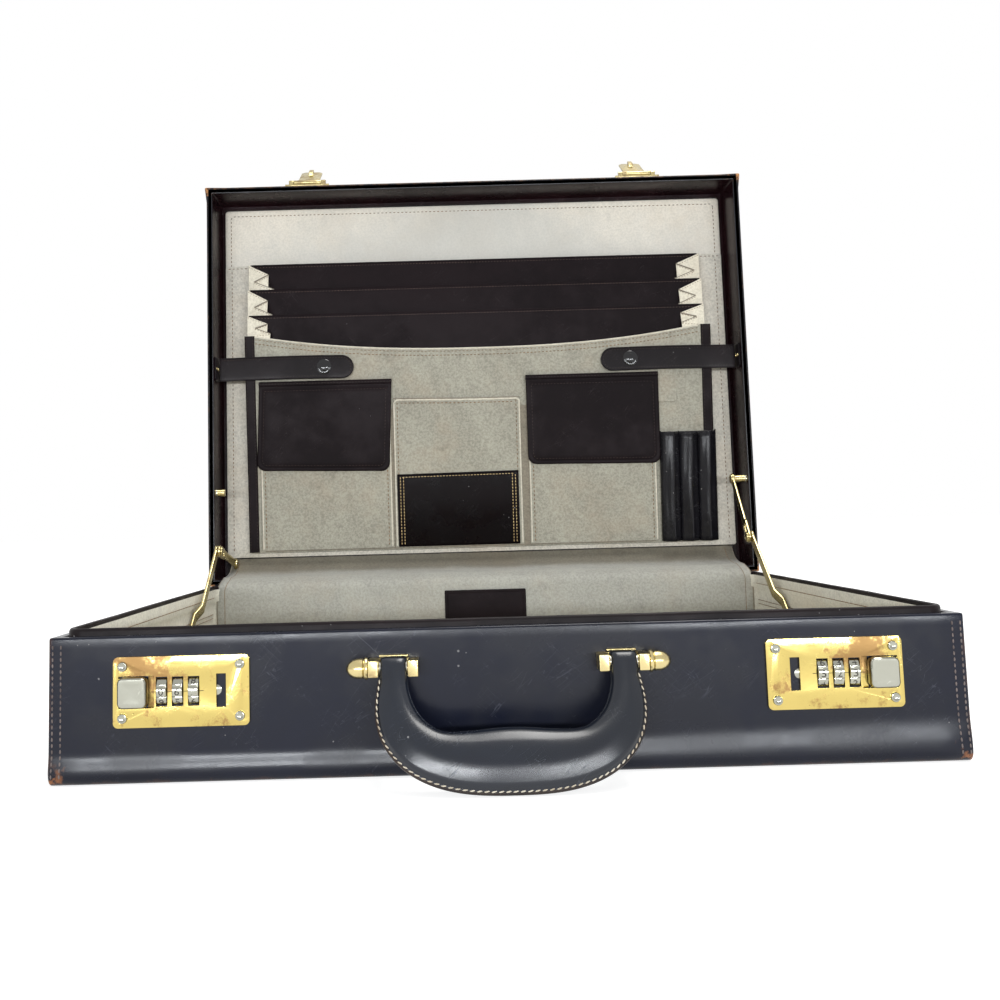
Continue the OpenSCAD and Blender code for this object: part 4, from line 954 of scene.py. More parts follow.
@dataclass
class CaseShell:
    """Leather skin of the tray or the lid: an open box with rounded long edges and flat ends.

    The outline of the box at each height is a rounded rectangle. Towards the closed side its half depth
    shrinks along a quarter circle of the long edges' radius, and its half width along the ends' small
    radius. With a swell, the front stands out by that much below a smooth step, and its lower edge is a
    tighter quarter circle.
    """

    name: str
    body: str
    height: float
    finish: Leather
    replaces: tuple[str, ...]
    back: Place
    half_w: float = HALF_W
    half_d: float = HALF_D
    edge_r: float = 10.0
    end_r: float = 1.0
    corner_r: float = 1.5
    skin_t: float = 0.95
    rim_w: float = 5.0
    flare: float = 0.0
    swell: float = 0.0
    low_r: float = 5.0

    def level(self, z: float, inset: float) -> Array:
        """Outline at one height, set in by the skin's thickness for its inner face."""
        r = self.edge_r - inset
        bend = r - np.sqrt(max(r**2 - max(r - z, 0) ** 2, 0))
        tight = max(self.end_r - z, 0)
        end = self.end_r - np.sqrt(max(self.end_r**2 - tight**2, 0))
        ring = rounded_outline(self.half_w - inset - end, self.half_d - inset - bend, self.corner_r, 30, 5)
        return at_height(ring, z + inset)

    def swelling(self, x: Array, z: Array, plain: bool = False) -> Array:
        """How far the front stands out, from the edge's quarter circle or, if plain, from the flat front."""
        right = np.clip(x / 200, 0, 1)
        span = 10.5 + 8 * right
        u = np.clip((self.low_r + span - z) / span, 0, 1)
        step = self.swell * (1 + 0.25 * right) * u * u * (3 - 2 * u) + 0.05 * ripple(x, 3 * z, 8.0)
        step = step - self.low_r + np.sqrt(self.low_r**2 - np.clip(self.low_r - z, 0, self.low_r) ** 2)
        if plain:
            return step
        return step + self.edge_r - np.sqrt(self.edge_r**2 - np.clip(self.edge_r - z, 0, self.edge_r) ** 2)

    def skin(self) -> Skin:
        """Rings from the middle of the outside over the rim to the middle of the inside."""
        angles = np.radians([0, 12, 24, 36, 48, 60, 72, 84, 90])
        low = np.unique(np.round(np.concatenate([[0.0, 0.12, 0.35, 0.7, 1.0],
                                                 self.edge_r * (1 - np.sin(angles))]), 4))
        high = np.concatenate([np.linspace(self.edge_r, 34, 17)[1:], np.linspace(36, self.height - 1.2, 9)])
        rings = [self.level(z, 0.0) for z in (*low, *high)]
        top = self.height
        for inset, z in ((0.15, top - 0.5), (0.5, top - 0.12), (1.0, top), (self.rim_w - 0.5, top),
                         (self.rim_w - 0.1, top - 0.15), (self.rim_w, top - 0.5),
                         (self.rim_w - 0.2, top - 0.6)):
            ring = rounded_outline(self.half_w - inset, self.half_d - inset, max(self.corner_r - inset, 0.3),
                                   30, 5)
            rings.append(at_height(ring, z))
        inner = [self.level(z, self.skin_t) for z in (top - 0.65 - self.skin_t, self.edge_r, 4.0, 1.5, 0.4,
                                                      0.0)]
        rings = np.array(rings + inner)
        if self.swell:
            outer = rings[:len(low) + len(high)]
            facing = np.clip(1 - (outer[..., 1] - outer[..., 1].min(1, keepdims=True)) / 2, 0, 1)
            outer[..., 1] -= self.swelling(outer[..., 0], outer[..., 2]) * facing
        if self.flare:
            reach = np.exp(-(((np.abs(rings[..., 0]) - self.half_w) / 5) ** 2)
                           - ((rings[..., 1] - self.half_d) / 7) ** 2
                           - ((rings[..., 2] - top) / 7) ** 2)
            rings[..., 0] += np.sign(rings[..., 0]) * reach * self.flare
            rings[..., 1] += reach * self.flare * 0.35
        made = Skin()
        made.stack(self.back(rings[..., 0], rings[..., 1], rings[..., 2]))
        return made

    def build(self) -> bpy.types.Object:
        """Makes the shell."""
        return dress(self.skin().build(self.name, 50), self.body, [self.finish], self.replaces)


def lid_shell_place(x: Array, y: Array, z: Array) -> Array:
    """Box of the lid: its closed side is the back, and its depth runs up the lid."""
    return lid_place(x, LID_MIDDLE + y, LID_BACK - z)


@dataclass
class Tray:
    """Tray: shell, lip, linings, patch, seams and rows of stitches."""

    lip_w: float = 219.6
    lip_d: float = 161.6
    lip_t: float = 3.4
    lip_r: float = 9.0
    lining_w: float = 217.4
    lining_d: float = 159.4
    floor: float = 6.5

    def lip(self) -> None:
        """Lip: a rounded bar carried round the tray's rim."""
        cut = [(self.lip_t, 63.1), (0.0, 63.1), (0.0, 73.4), (0.35, 74.4), (1.0, 74.9), (1.7, 75.0),
               (2.4, 74.9), (3.05, 74.4),
               (self.lip_t, 73.4)]
        rings = []
        for inset, z in cut:
            ring = rounded_outline(self.lip_w - inset, self.lip_d - inset, self.lip_r - inset, 40, 8)
            lift = 0.16 * ripple(ring[:, 0], ring[:, 1], 1.3) * (z > 70)
            rings.append(at_height(ring, z + lift - 0.16 * (z > 70)))
        made = Skin()
        made.grid(np.array(rings), wrap_u=True, wrap_v=True)
        dress(made.build("tray_lip_leather", 50), "tray", [LIP_HIDE], ["tray_lip"])

    def lining(self) -> None:
        """Suede on walls and floor.

        Rings run up behind the wall, over the top and down the lip's inner face, down the wall, round the
        corner and shrink over the floor. Slow waves move them by a few tenths of a millimetre.
        """
        def ring(w: float, d: float, z: float) -> Array:
            """Rounded rectangle at one height."""
            return at_height(rounded_outline(w, d, 6.0, 36, 6), z)

        back, over = self.lining_w + 2.3, 216.12
        rings = [ring(self.lining_w - 5, self.lining_d - 5, 5.1) * np.array([0, 0, 1]),
                 ring(back, back - 58, 5.1),
                 ring(back, back - 58, 62.6), ring(over, over - 58, 62.9), ring(over, over - 58, 72.2),
                 ring(over - 0.1, over - 58.15, 72.4), ring(over - 0.18, over - 58.3, 72.2)]
        for z in (68.0, 63.4):
            rings.append(ring(over - 0.18, over - 58.3, z))
        for z in (61.8, 55.0, 45.0, 35.0, 25.0, 15.0, 9.5):
            flat = ring(self.lining_w, self.lining_d, z)
            wave = 0.18 * ripple(flat[:, 0] + z, flat[:, 1] - 2 * z, 2.2)
            flat[:, :2] *= 1 - wave[:, None] / 200
            rings.append(flat)
        for inset, z in ((0.7, 7.7), (2.2, 6.8), (5.0, self.floor)):
            rings.append(ring(self.lining_w - inset, self.lining_d - inset, z))
        base = rings[-1][:, :2]
        for share in np.linspace(0.92, 0.0, 12):
            flat = base * share
            lift = 0.25 * ripple(flat[:, 0], flat[:, 1], 0.7) * min(1.0, 4 * (1 - share))
            rings.append(at_height(flat, self.floor - 0.3 + lift))
        made = Skin()
        made.grid(np.array(rings), wrap_v=True)
        for side in (-1, 1):
            for z in (50.0, 53.0, 66.0):
                x = self.lining_w - 0.4 if z < 60 else over - 0.2
                path = tray_place(side * x, np.linspace(-152, 150, 60), z)
                made.bar(path, UP, 0.22 * circle(6), slot=1)
        path = tray_place(np.linspace(-210, 210, 60), -self.lining_d + 0.4, 53.0)
        made.bar(path, UP, 0.22 * circle(6), slot=1)
        dress(made.build("tray_suede", 60), "tray", [TRAY_SUEDE, TAN],
              ["tray_lining", "tray_floor_lining"])

    def patch(self) -> None:
        """Bare leather patch over the cloth on the rear wall, with a pressed line near its edge."""
        made = Skin()
        place = lambda x, lift, y: tray_place(x, 156.3 + 0.028 * (67 - y) - lift, y)
        made.plate(place, (0, 43.5), (32.5, 23), 1.0, [(0.6, 0), (0, 0.3), (0, 0.9), (0.35, 1.2), (2.0, 1.2),
                                                       (2.3, 1.0),
                                                      (2.6, 1.2), (3.0, 1.22)])
        dress(made.build("tray_patch", 30), "tray", [PLUM], ["leather_patch"])

    def seams(self, shell: CaseShell) -> None:
        """Two rows of stitches at each end of the front and the back, and one row along each end's edges."""
        made = Skin()
        z = np.linspace(4, 67.5, 40)
        for side in (-1, 1):
            for inset in (2.2, 6.2):
                x = side * (HALF_W - inset)
                y = -HALF_D - 0.1 - shell.swelling(x, z, plain=True)
                made.stitches(tray_place(x, y, z), FRONT, *CASE_SEWING)
                y = HALF_D - 10 + np.sqrt(100 - np.maximum(10 - z, 0) ** 2)
                made.stitches(tray_place(x, y + 0.08, z), REAR, *CASE_SEWING)
            t = np.linspace(0, np.pi / 2, 12)
            y = np.concatenate([np.full(20, -164.4), -157 - 7.4 * np.cos(t), np.linspace(-156, 156, 60),
                                157 + 7.4 * np.sin(t), np.full(20, 164.4)])
            up = np.concatenate([np.linspace(68, 11, 20), 10 - 7.4 * np.sin(t), np.full(60, 2.6),
                                 10 - 7.4 * np.cos(t),
                                 np.linspace(11, 68, 20)])
            made.stitches(tray_place(side * (HALF_W + 0.08), y, up), (side, 0, 0), *CASE_SEWING)
        dress(made.build("tray_stitches"), "tray", [SEAM])

    def build(self) -> None:
        """Makes every piece of the tray."""
        shell = CaseShell("tray_leather", "tray", 71.15, HIDE, ("tray_cover", "tray_end_panels"), tray_place,
                          swell=1.5)
        shell.build()
        self.lip()
        self.lining()
        self.patch()
        self.seams(shell)
        refinish("tray_frame", RIM_HIDE)


def circle(n: int, wide: float = 1.0, high: float = 1.0) -> Array:
    """Closed profile of n points round an ellipse."""
    t = np.linspace(0, 2 * np.pi, n, endpoint=False)
    return np.stack([wide * np.cos(t), high * np.sin(t)], -1)


def softened(wide: float, high: float, power: float = 4.0, n: int = 20) -> Array:
    """Closed superellipse profile: each coordinate is the power 2/p of the circle's, with its sign."""
    t = np.linspace(0, 2 * np.pi, n, endpoint=False)
    c, s = np.cos(t), np.sin(t)
    return np.stack([wide * np.sign(c) * np.abs(c) ** (2 / power),
                     high * np.sign(s) * np.abs(s) ** (2 / power)], -1)


@dataclass
class Lid:
    """Lid: shell, dark inner walls, board, backing, and the cloth that crosses the hinge."""

    wall_w: float = 220.2
    wall_low: float = 7.4
    wall_high: float = 331.8
    depth: float = 40.0

    def lining(self) -> None:
        """Dark inner walls: rounded rings from the rim back, and a narrow step behind the board."""
        mid = (self.wall_low + self.wall_high) / 2
        half = (self.wall_high - self.wall_low) / 2
        rings = []
        for grow, w in ((0.5, 0.5), (0.5, 39.9), (-2.6, 39.9), (-2.6, 39.3), (-0.5, 39.1), (0.0, 38.4),
                        (0.0, 30.0),
                        (0.0, 20.0), (0.0, 10.0), (0.0, 1.2), (0.12, 0.6)):
            ring = rounded_outline(self.wall_w + grow, half + grow, 2.0, 30, 4)
            rings.append(lid_place(ring[:, 0], mid + ring[:, 1], w))
        made = Skin()
        made.grid(np.array(rings), wrap_u=True, wrap_v=True)
        dress(made.build("lid_inner_walls", 40), "lid", [MAROON], ["lid_lining"])

    def board(self) -> None:
        """Suede board with a soft folded edge and a row of stitches, and the lower backing with its seam."""
        made = Skin()
        place = lambda x, lift, y: lid_place(x, y, self.depth - lift)
        made.plate(place, (0, 175.5), (217, 151.5), 3.0,
                   [(1.2, 0.1), (0.2, 0.8), (0, 2.2), (0.3, 3.3), (1.2, 3.9), (3.2, 4.0),
               (6.0, 3.98), (60, 4.0)], side=16)
        ring = rounded_outline(211.6, 146.1, 3.0, 30, 5)
        path = lid_place(ring[:, 0], 175.5 + ring[:, 1], 35.98)
        made.stitches(np.concatenate([path, path[:1]]), FRONT, *BOARD_SEWING, slot=1)
        dress(made.build("lid_board"), "lid", [BOARD_SUEDE, TAN], ["organiser_board"])
        made = Skin()
        place = lambda x, lift, y: lid_place(x, y, 36.0 - lift)
        made.plate(place, (0, 150.5), (216.6, 126.5), 2.0,
                   [(0.6, 0.05), (0, 0.5), (0.2, 1.1), (0.8, 1.38), (50, 1.4)], side=16)
        for side in (-1, 1):
            path = lid_place(side * 211.0, np.linspace(30, 272, 80), 34.6)
            made.stitches(path, FRONT, *BOARD_SEWING, slot=1)
        path = lid_place(np.linspace(-214, 214, 80), 274.6, 34.6)
        made.stitches(path, FRONT, *BOARD_SEWING, slot=1)
        dress(made.build("lid_backing"), "lid", [BACK_SUEDE, TAN], ["file_backing"])

    def cloth(self) -> None:
        """Cloth from the board's lower edge over the hinge and the rear lip down the tray's rear wall.

        A smooth curve in the plane of depth and height is swept from side to side; its half width grows a
        little towards the tray, and slow waves move it by up to half a millimetre.
        """
        curve = [(35.9, 23.0), (33.5, 18.6), (27.0, 13.6), (18.0, 10.6), (8.0, 9.4), (0.0, 8.9), (-6.0, 6.9),
                 (-10.4, 4.6),
                 (-12.2, 1.6), (-12.8, -4.0), (-12.6, -14.0), (-12.0, -30.0), (-11.6, -45.0), (-11.5, -58.0)]
        line = smooth_path([(0, w, v) for w, v in curve], 72)
        t = np.linspace(-1, 1, 90)
        half = 212.4 + 2.6 * np.clip((8 - line[:, 2]) / 8, 0, 1)
        x = half[:, None] * t[None, :]
        wave = 0.4 * ripple(x, 3 * line[:, 2][:, None] + 0 * x, 1.9)
        points = lid_place(x, line[:, 2][:, None] + wave * 0.6, line[:, 1][:, None] + wave * 0.5)
        made = Skin()
        made.sheet(points, 0.8)
        k = slice(2, 70)
        for side in (-1, 1):
            path = lid_place(side * (half[k] - 6), line[k, 2] + 0.1, line[k, 1])
            normal = unit(np.cross(np.gradient(path, axis=0), np.array([-1.0, 0, 0])))
            made.bar(path - normal * 0.36, ACROSS, 0.2 * circle(6), slot=1)
            edge = lid_place(side * (half[k] + 0.1), line[k, 2], line[k, 1])
            made.bar(edge, ACROSS, softened(0.5, 0.5, 3.0, 12), slot=2)
        cloth = made.build("hinge_cloth", 80)
        dress(cloth, "", [CLOTH_SUEDE, TAN, GAP_SUEDE], ["hinge_gusset"])
        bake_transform(cloth)
        grid_area(points)

    def rim(self) -> None:
        """Rows of stitches at both ends of the lid's top, bottom and back edges."""
        made = Skin()
        w = np.linspace(3, 37, 24)
        for side in (-1, 1):
            for inset in (2.0, 6.6):
                bend = 10 - np.sqrt(100 - np.maximum(w - 34.2, 0) ** 2)
                made.stitches(lid_place(side * (HALF_W - inset), 336.66 - bend, w), UP, *LID_SEWING)
                path = lid_place(side * (HALF_W - inset), np.linspace(13, 326, 120), 44.22)
                made.stitches(path, REAR, *LID_SEWING)
        dress(made.build("lid_stitches"), "lid", [SEAM])

    def build(self) -> None:
        """Makes every piece of the lid."""
        CaseShell("lid_leather", "lid", 44.0, LID_HIDE, ("lid_cover", "lid_end_panels"), lid_shell_place,
                  flare=1.6).build()
        self.lining()
        self.board()
        self.cloth()
        self.rim()
        refinish("lid_frame", RIM_HIDE)


@dataclass
class ExpandingFile:
    """Dividers, folded gussets, the front panel and its pockets, flaps and pen holder."""

    tops: tuple[float, ...] = (248.0, 225.0, 202.0)
    tip: float = 194.0
    neck: float = 179.0
    panel_half: float = 196.0
    panel_top: float = 183.0
    scoop: float = 14.0
    gusset_foot: float = 126.0
    pockets: tuple[tuple[float, float, float], ...] = ((-185, -75, 121), (-72, 35, 126), (42, 149, 121))
    flaps: tuple[float, ...] = (-129.0, 96.5)

    def divider(self, i: int, word: str) -> None:
        """One divider: a flat sheet that narrows from pointed tips below its straight upper edge."""
        place, top = DIVIDERS[i], self.tops[i]
        up = np.concatenate([np.linspace(0, top - 32, 16), np.linspace(top - 30, top - 0.5, 22)])
        drop = np.clip((top - up) / 17, 0, 1)
        half = self.neck + (self.tip - self.neck) * (1 - drop) ** 1.5
        t = np.linspace(-1, 1, 48)
        x = half[:, None] * t[None, :]
        rise = up[:, None] - 0.0 * x
        sway = 0.25 * ripple(x, rise, 1.0 + i)
        made = Skin()
        made.sheet(place(x, sway, rise), 1.3)
        path = place(np.linspace(-self.tip + 3, self.tip - 3, 80), 0.78, top - 2.6)
        made.stitches(path, FRONT, pitch=2.6, length=1.6, width=0.42, slot=1)
        dress(made.build(f"file_divider_{word}_leather", 60), f"file_divider_{word}", [PLUM, RUST],
              [f"file_divider_{word}"])

    def gussets(self) -> None:
        """Folded side gussets: between two panels the cloth runs in and out twice, with sharp creases.

        Five knots across the gap say how far in the cloth stands and what share of the way down its upper
        edge has come; straight runs join them, so each run is one ply. The folds close a little down the
        panel.
        """
        made = Skin()
        frames = (*DIVIDERS, FRONT_PANEL)
        knots = np.array([0, 0.28, 0.55, 0.8, 1.0])
        s = np.linspace(0, 1, 41)
        total, widest, deepest = 0.0, 0.0, 0.0
        for side in (-1, 1):
            for i in range(3):
                high = self.tops[i] - 0.6
                below = self.tops[i + 1] - 2.0 if i < 2 else self.panel_top + 1.0
                inward = np.interp(s, knots, np.array([0.0, 19.0 + 1.5 * side, 5.0 + i, 22.0 - i, 1.0]))
                dropped = np.interp(s, knots, [0.0, 0.36 + 0.03 * i, 0.62, 0.90, 1.0])
                top = high - (high - below) * dropped
                t = np.linspace(0, 1, 26)[:, None]
                up = self.gusset_foot + (top[None, :] - self.gusset_foot) * t
                x = side * (195.0 - inward[None, :] * (0.72 + 0.28 * t) + 0.35
                            * ripple(up, 40 * s[None, :], i + 2.0))
                near = frames[i](x, 0.95, up)
                far = frames[i + 1](x, -0.95, up)
                cloth = near + (far - near) * s[None, :, None]
                made.sheet(cloth, 0.5)
                total += grid_area(cloth)
                widest += float(np.linalg.norm(np.diff(cloth[-1], axis=0), axis=1).sum()) * MM
                deepest = max(deepest, float(top.max() - self.gusset_foot) * MM)
                seam = cloth[-1] + (cloth[-2] - cloth[-1]) * 0.3 + np.array([0, -0.32, 0])
                made.stitches(seam, FRONT, pitch=2.4, length=1.5, width=0.4, slot=1)
                # Bars of the darker suede along two plies' upper edges are painted shadow in the creases
                for first, last, wide in ((11, 23, 0.62), (22, 33, 0.34)):
                    fold = cloth[-1, first:last] + np.array([0, -0.3, 0.1])
                    made.bar(fold, UP, circle(8, wide, 0.3), slot=2)
        piece = dress(made.build("file_gusset_folds", 45), "", [CREAM, TAN, GAP_SUEDE],
                      ["file_gussets"])
        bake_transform(piece)
        size = (widest, deepest)
        min(total, size[0] * size[1])

    def top_edge(self, x: Array) -> Array:
        """Height of the front panel's upper edge: highest at the ends, with a smooth dip between."""
        return self.panel_top - self.scoop * (1 - np.clip(np.abs(x) / 186, 0, 1) ** 2.4)

    def front(self) -> None:
        """Front panel: suede with the scooped edge stitched twice, and dark bindings down both sides."""
        made = Skin()
        x = np.linspace(-self.panel_half + 1, self.panel_half - 1, 72)
        t = np.linspace(0, 1, 40)
        up = t[:, None] * self.top_edge(x)[None, :]
        sway = 0.3 * ripple(x[None, :], up, 3.1)
        made.sheet(FRONT_PANEL(x[None, :], -0.6 + sway * 0.4, up), 1.2)
        path_x = np.linspace(-188, 188, 140)
        for inset, size in ((2.4, 0.55), (5.8, 0.75)):
            path = FRONT_PANEL(path_x, 0.12, self.top_edge(path_x) - inset)
            made.stitches(path, FRONT, 3.2, 2.1, size, slot=1)
        roll = FRONT_PANEL(path_x, -0.45, self.top_edge(path_x) - 0.3)
        made.bar(roll, FRONT, softened(0.95, 0.75, 2.6, 12), slot=4)
        cut = softened(1.25, 4.2, 5.0, 20)
        for side, inner in ((-1, 192.6), (1, 194.6)):
            up = np.linspace(0.4, self.panel_top + 0.8, 50)
            path = FRONT_PANEL(side * (inner + 0.12 * ripple(up, up, 2.0)), -0.3, up)
            made.bar(path, REAR, cut, slot=2)
            for shift in (-2.9, 2.9):
                edge = FRONT_PANEL(side * inner + shift, 0.98, up)
                made.stitches(edge, FRONT, pitch=2.7, length=1.7, width=0.4, slot=3)
        dress(made.build("file_front_suede"), "file_front", [SUEDE, TAN, PLUM, DARK, EDGE_SUEDE],
              ["file_front_panel"])

    def pocket_row(self) -> None:
        """Base strip and three pockets, each a sheet that swells a little between its stitched sides."""
        made = Skin()
        # The base strip's darker suede is painted shade, seen in the gaps between the pockets
        strip = FRONT_PANEL(np.linspace(-183, 147, 60)[None, :], 0.5, np.linspace(1, 119, 20)[:, None])
        made.sheet(strip, 0.7, slot=2)
        for k, (left, right, top) in enumerate(self.pockets):
            s = np.linspace(-1, 1, 36)
            px = (left + right) / 2 + s * (right - left) / 2
            lean = (1.2, -0.6, 0.8)[k]
            edge = top + lean * s + 0.5 * ripple(px, px, 4.0 + k)
            t = np.linspace(0, 1, 30)[:, None]
            up = 2 + (edge[None, :] - 2) * t
            crown = 0.75 * (1 - s[None, :] ** 4) * np.sin(np.pi * np.clip(t, 0, 0.9) / 1.6)
            taper = px[None, :] + (left + right - 2 * px[None, :]) * 0.012 * (t - 0.5)
            made.sheet(FRONT_PANEL(taper, 1.35 + crown + 0.1 * ripple(taper, up, 6.0 + k), up), 0.9)
            for side in (-1, 1):
                edge_x = (left + right) / 2 + side * ((right - left) / 2 - 3.2)
                path = FRONT_PANEL(edge_x, 2.2, np.linspace(4, top - 2, 40))
                made.stitches(path, FRONT, *POCKET_SEWING, slot=1)
            if k == 1:
                path = FRONT_PANEL(px[2:-2], 2.1 + crown[-1, 2:-2], edge[2:-2] - 3.0)
                made.stitches(path, FRONT, *POCKET_SEWING, slot=1)
            rise = np.linspace(3, top - 2.2, 30)
            turn_x = np.concatenate([np.full(30, px[0] + 0.5), px[1:-1], np.full(30, px[-1] - 0.5)])
            turn_up = np.concatenate([rise, edge[1:-1] - 0.4, rise[::-1]])
            lift = 1.55 + np.concatenate([np.zeros(30), crown[-1, 1:-1], np.zeros(30)])
            made.bar(FRONT_PANEL(turn_x, lift, turn_up), FRONT, softened(0.75, 0.7, 2.6, 12), slot=3)
            # A thin bar of the darker suede just above each pocket's upper edge is a painted shadow line
            made.bar(FRONT_PANEL(px, 0.9 + crown[-1], edge + 0.75), UP, softened(0.55, 0.35, 2.6, 10),
                     slot=2)
        dress(made.build("file_pocket_suede"), "file_front", [SUEDE, TAN, GAP_SUEDE, EDGE_SUEDE],
              ["file_pockets"])

    def card(self) -> None:
        """Glossy card pocket: a smooth sheet with a slight swell and two rows of stitches down each side."""
        made = Skin()
        middle, half = -19, 51

        def lift(x: Array, share: Array) -> Array:
            """How far the sheet stands out, at a place across it and a share of its height."""
            return 0.35 * (1 - ((x - middle) / half) ** 6) * np.sin(np.pi * 0.9 * share)

        s, t = np.linspace(-1, 1, 40)[None, :], np.linspace(0, 1, 26)[:, None]
        x = middle + half * s
        made.sheet(FRONT_PANEL(x, 2.75 + lift(x, t), 2.5 + (61.0 + 0.5 * s) * t), 0.8)
        for x in (-67.6, -65.0, 27.0, 29.6):
            path = FRONT_PANEL(x, 3.2 + lift(x, np.linspace(0.02, 0.96, 30)), np.linspace(4, 61, 30))
            made.stitches(path, FRONT, pitch=2.6, length=1.9, width=0.75, slot=1)
        x = np.linspace(-66, 28, 50)
        path = FRONT_PANEL(x, 3.2 + lift(x, 0.96), 61.2 + 0.5 * (x - middle) / half)
        made.stitches(path, FRONT, pitch=2.6, length=1.9, width=0.6, slot=1)
        dress(made.build("file_card_pocket", 60), "file_front", [GLOSS_HIDE, GOLDEN],
              ["card_pocket"])

    def flap(self, side: Side) -> None:
        """Pocket flap: rounded lower corners, a pressed edge line, and a lower edge that lifts."""
        mid = self.flaps[0] if side is Side.LEFT else self.flaps[1]
        shear, slant = (3.4, 1.6) if side is Side.LEFT else (-0.4, 0.9)
        made = Skin()
        n = 16

        def place(x: Array, lift: Array, y: Array) -> Array:
            """Lifts the flap towards its lower corners and waves its edge."""
            low = np.clip((141 - y) / 73, 0, 1)
            curl = 0.55 * low**2 * (0.5 + 0.5 * np.cos((x - mid) * 0.05 + 0.8))
            y = y - slant * low * (x - mid) / 56
            return FRONT_PANEL(x - shear * low, 2.15 + lift + curl,
                               y + 0.25 * ripple(x, 0 * y, 5.0) * low)

        rings = []
        for inset, lift in ((30, 0.2), (6, 0.2), (0.7, 0.2), (0.05, 0.5), (0, 0.9), (0.4, 1.25), (1.0, 1.4),
                            (2.4, 1.4),
                            (2.7, 1.25), (3.0, 1.4), (8, 1.42), (30, 1.42)):
            ring = squared_top(56 - inset, 36.6 - inset, 7.0, n)
            rings.append(place(mid + ring[:, 0], lift, 104.5 + ring[:, 1]))
        made.stack(np.array(rings))
        ring = squared_top(56 - 4.6, 36.5 - 4.6, 4.5, 20)
        path = place(mid + ring[:, 0], 1.44, 104.5 + ring[:, 1])
        made.stitches(np.concatenate([path, path[:1]]), FRONT, pitch=2.7, length=1.7, width=0.36, slot=1)
        word = side.word
        dress(made.build(f"file_flap_{word}_leather", 60), f"flap_{word}", [PLUM, DARK],
              [f"flap_{word}"])

    def hems(self) -> None:
        """Leather strips over the flaps' upper edges, each a flattened bar."""
        made = Skin()
        for mid in self.flaps:
            x = np.linspace(mid - 56, mid + 56, 30)
            made.bar(FRONT_PANEL(x, 1.75, 142.5), UP, softened(2.0, 2.1, 4.0, 16))
            path = FRONT_PANEL(x, 3.87, 142.5)
            made.stitches(path, FRONT, pitch=2.6, length=1.6, width=0.36, slot=1)
        dress(made.build("file_flap_hems"), "file_front", [PLUM, DARK], ["flap_hems"])

    def pens(self) -> None:
        """Pen holder: one sheet in three arches with an uneven upper edge, and a loose strip of cloth."""
        made = Skin()
        s = np.linspace(0, 3, 91)
        x = 152.8 + 15.6 * s
        arch = np.abs(np.sin(np.pi * s)) ** 0.62
        t = np.linspace(0, 1, 22)[:, None]
        seam = np.exp(-(((s - np.round(s)) / 0.05) ** 2))
        top = 91.5 + 0.9 * np.sin(s * 2.4 + 0.6) + 0.5 * arch + 1.8 * seam
        up = 1.2 + (top[None, :] - 1.2) * t
        pinch = 1 - 0.28 * np.exp(-((t - 0.02) / 0.12) ** 2)
        crease = (0.35 * np.sin(9 * t + 3 * s[None, :]) + 0.45
                  * np.sin(13 * s[None, :] + 1.1 * np.sin(4 * t))) * arch[None, :]
        made.sheet(FRONT_PANEL(x[None, :], 1.9 + 6.3 * arch[None, :] * pinch + crease, up), 1.1)
        back = FRONT_PANEL(np.linspace(152.8, 199.5, 20)[None, :], 1.0, np.linspace(1.2, 93, 12)[:, None])
        made.sheet(back, 0.8)
        dress(made.build("file_pen_holder", 60), "file_front", [PEN_HIDE], ["pen_holder"])
        made = Skin()
        x = np.linspace(153, 168, 8)
        up = np.linspace(119, 150, 12)[:, None]
        made.sheet(FRONT_PANEL(x[None, :], 0.5 + 0.3 * np.sin(up * 0.12), up), 0.7)
        strip = dress(made.build("file_cloth_strip"), "file_front", [SUEDE])

    def build(self) -> None:
        """Makes every piece of the file."""
        for i, word in enumerate(("rear", "middle", "front")):
            self.divider(i, word)
        self.gussets()
        self.front()
        self.pocket_row()
        self.card()
        self.flap(Side.LEFT)
        self.flap(Side.RIGHT)
        self.hems()
        self.pens()


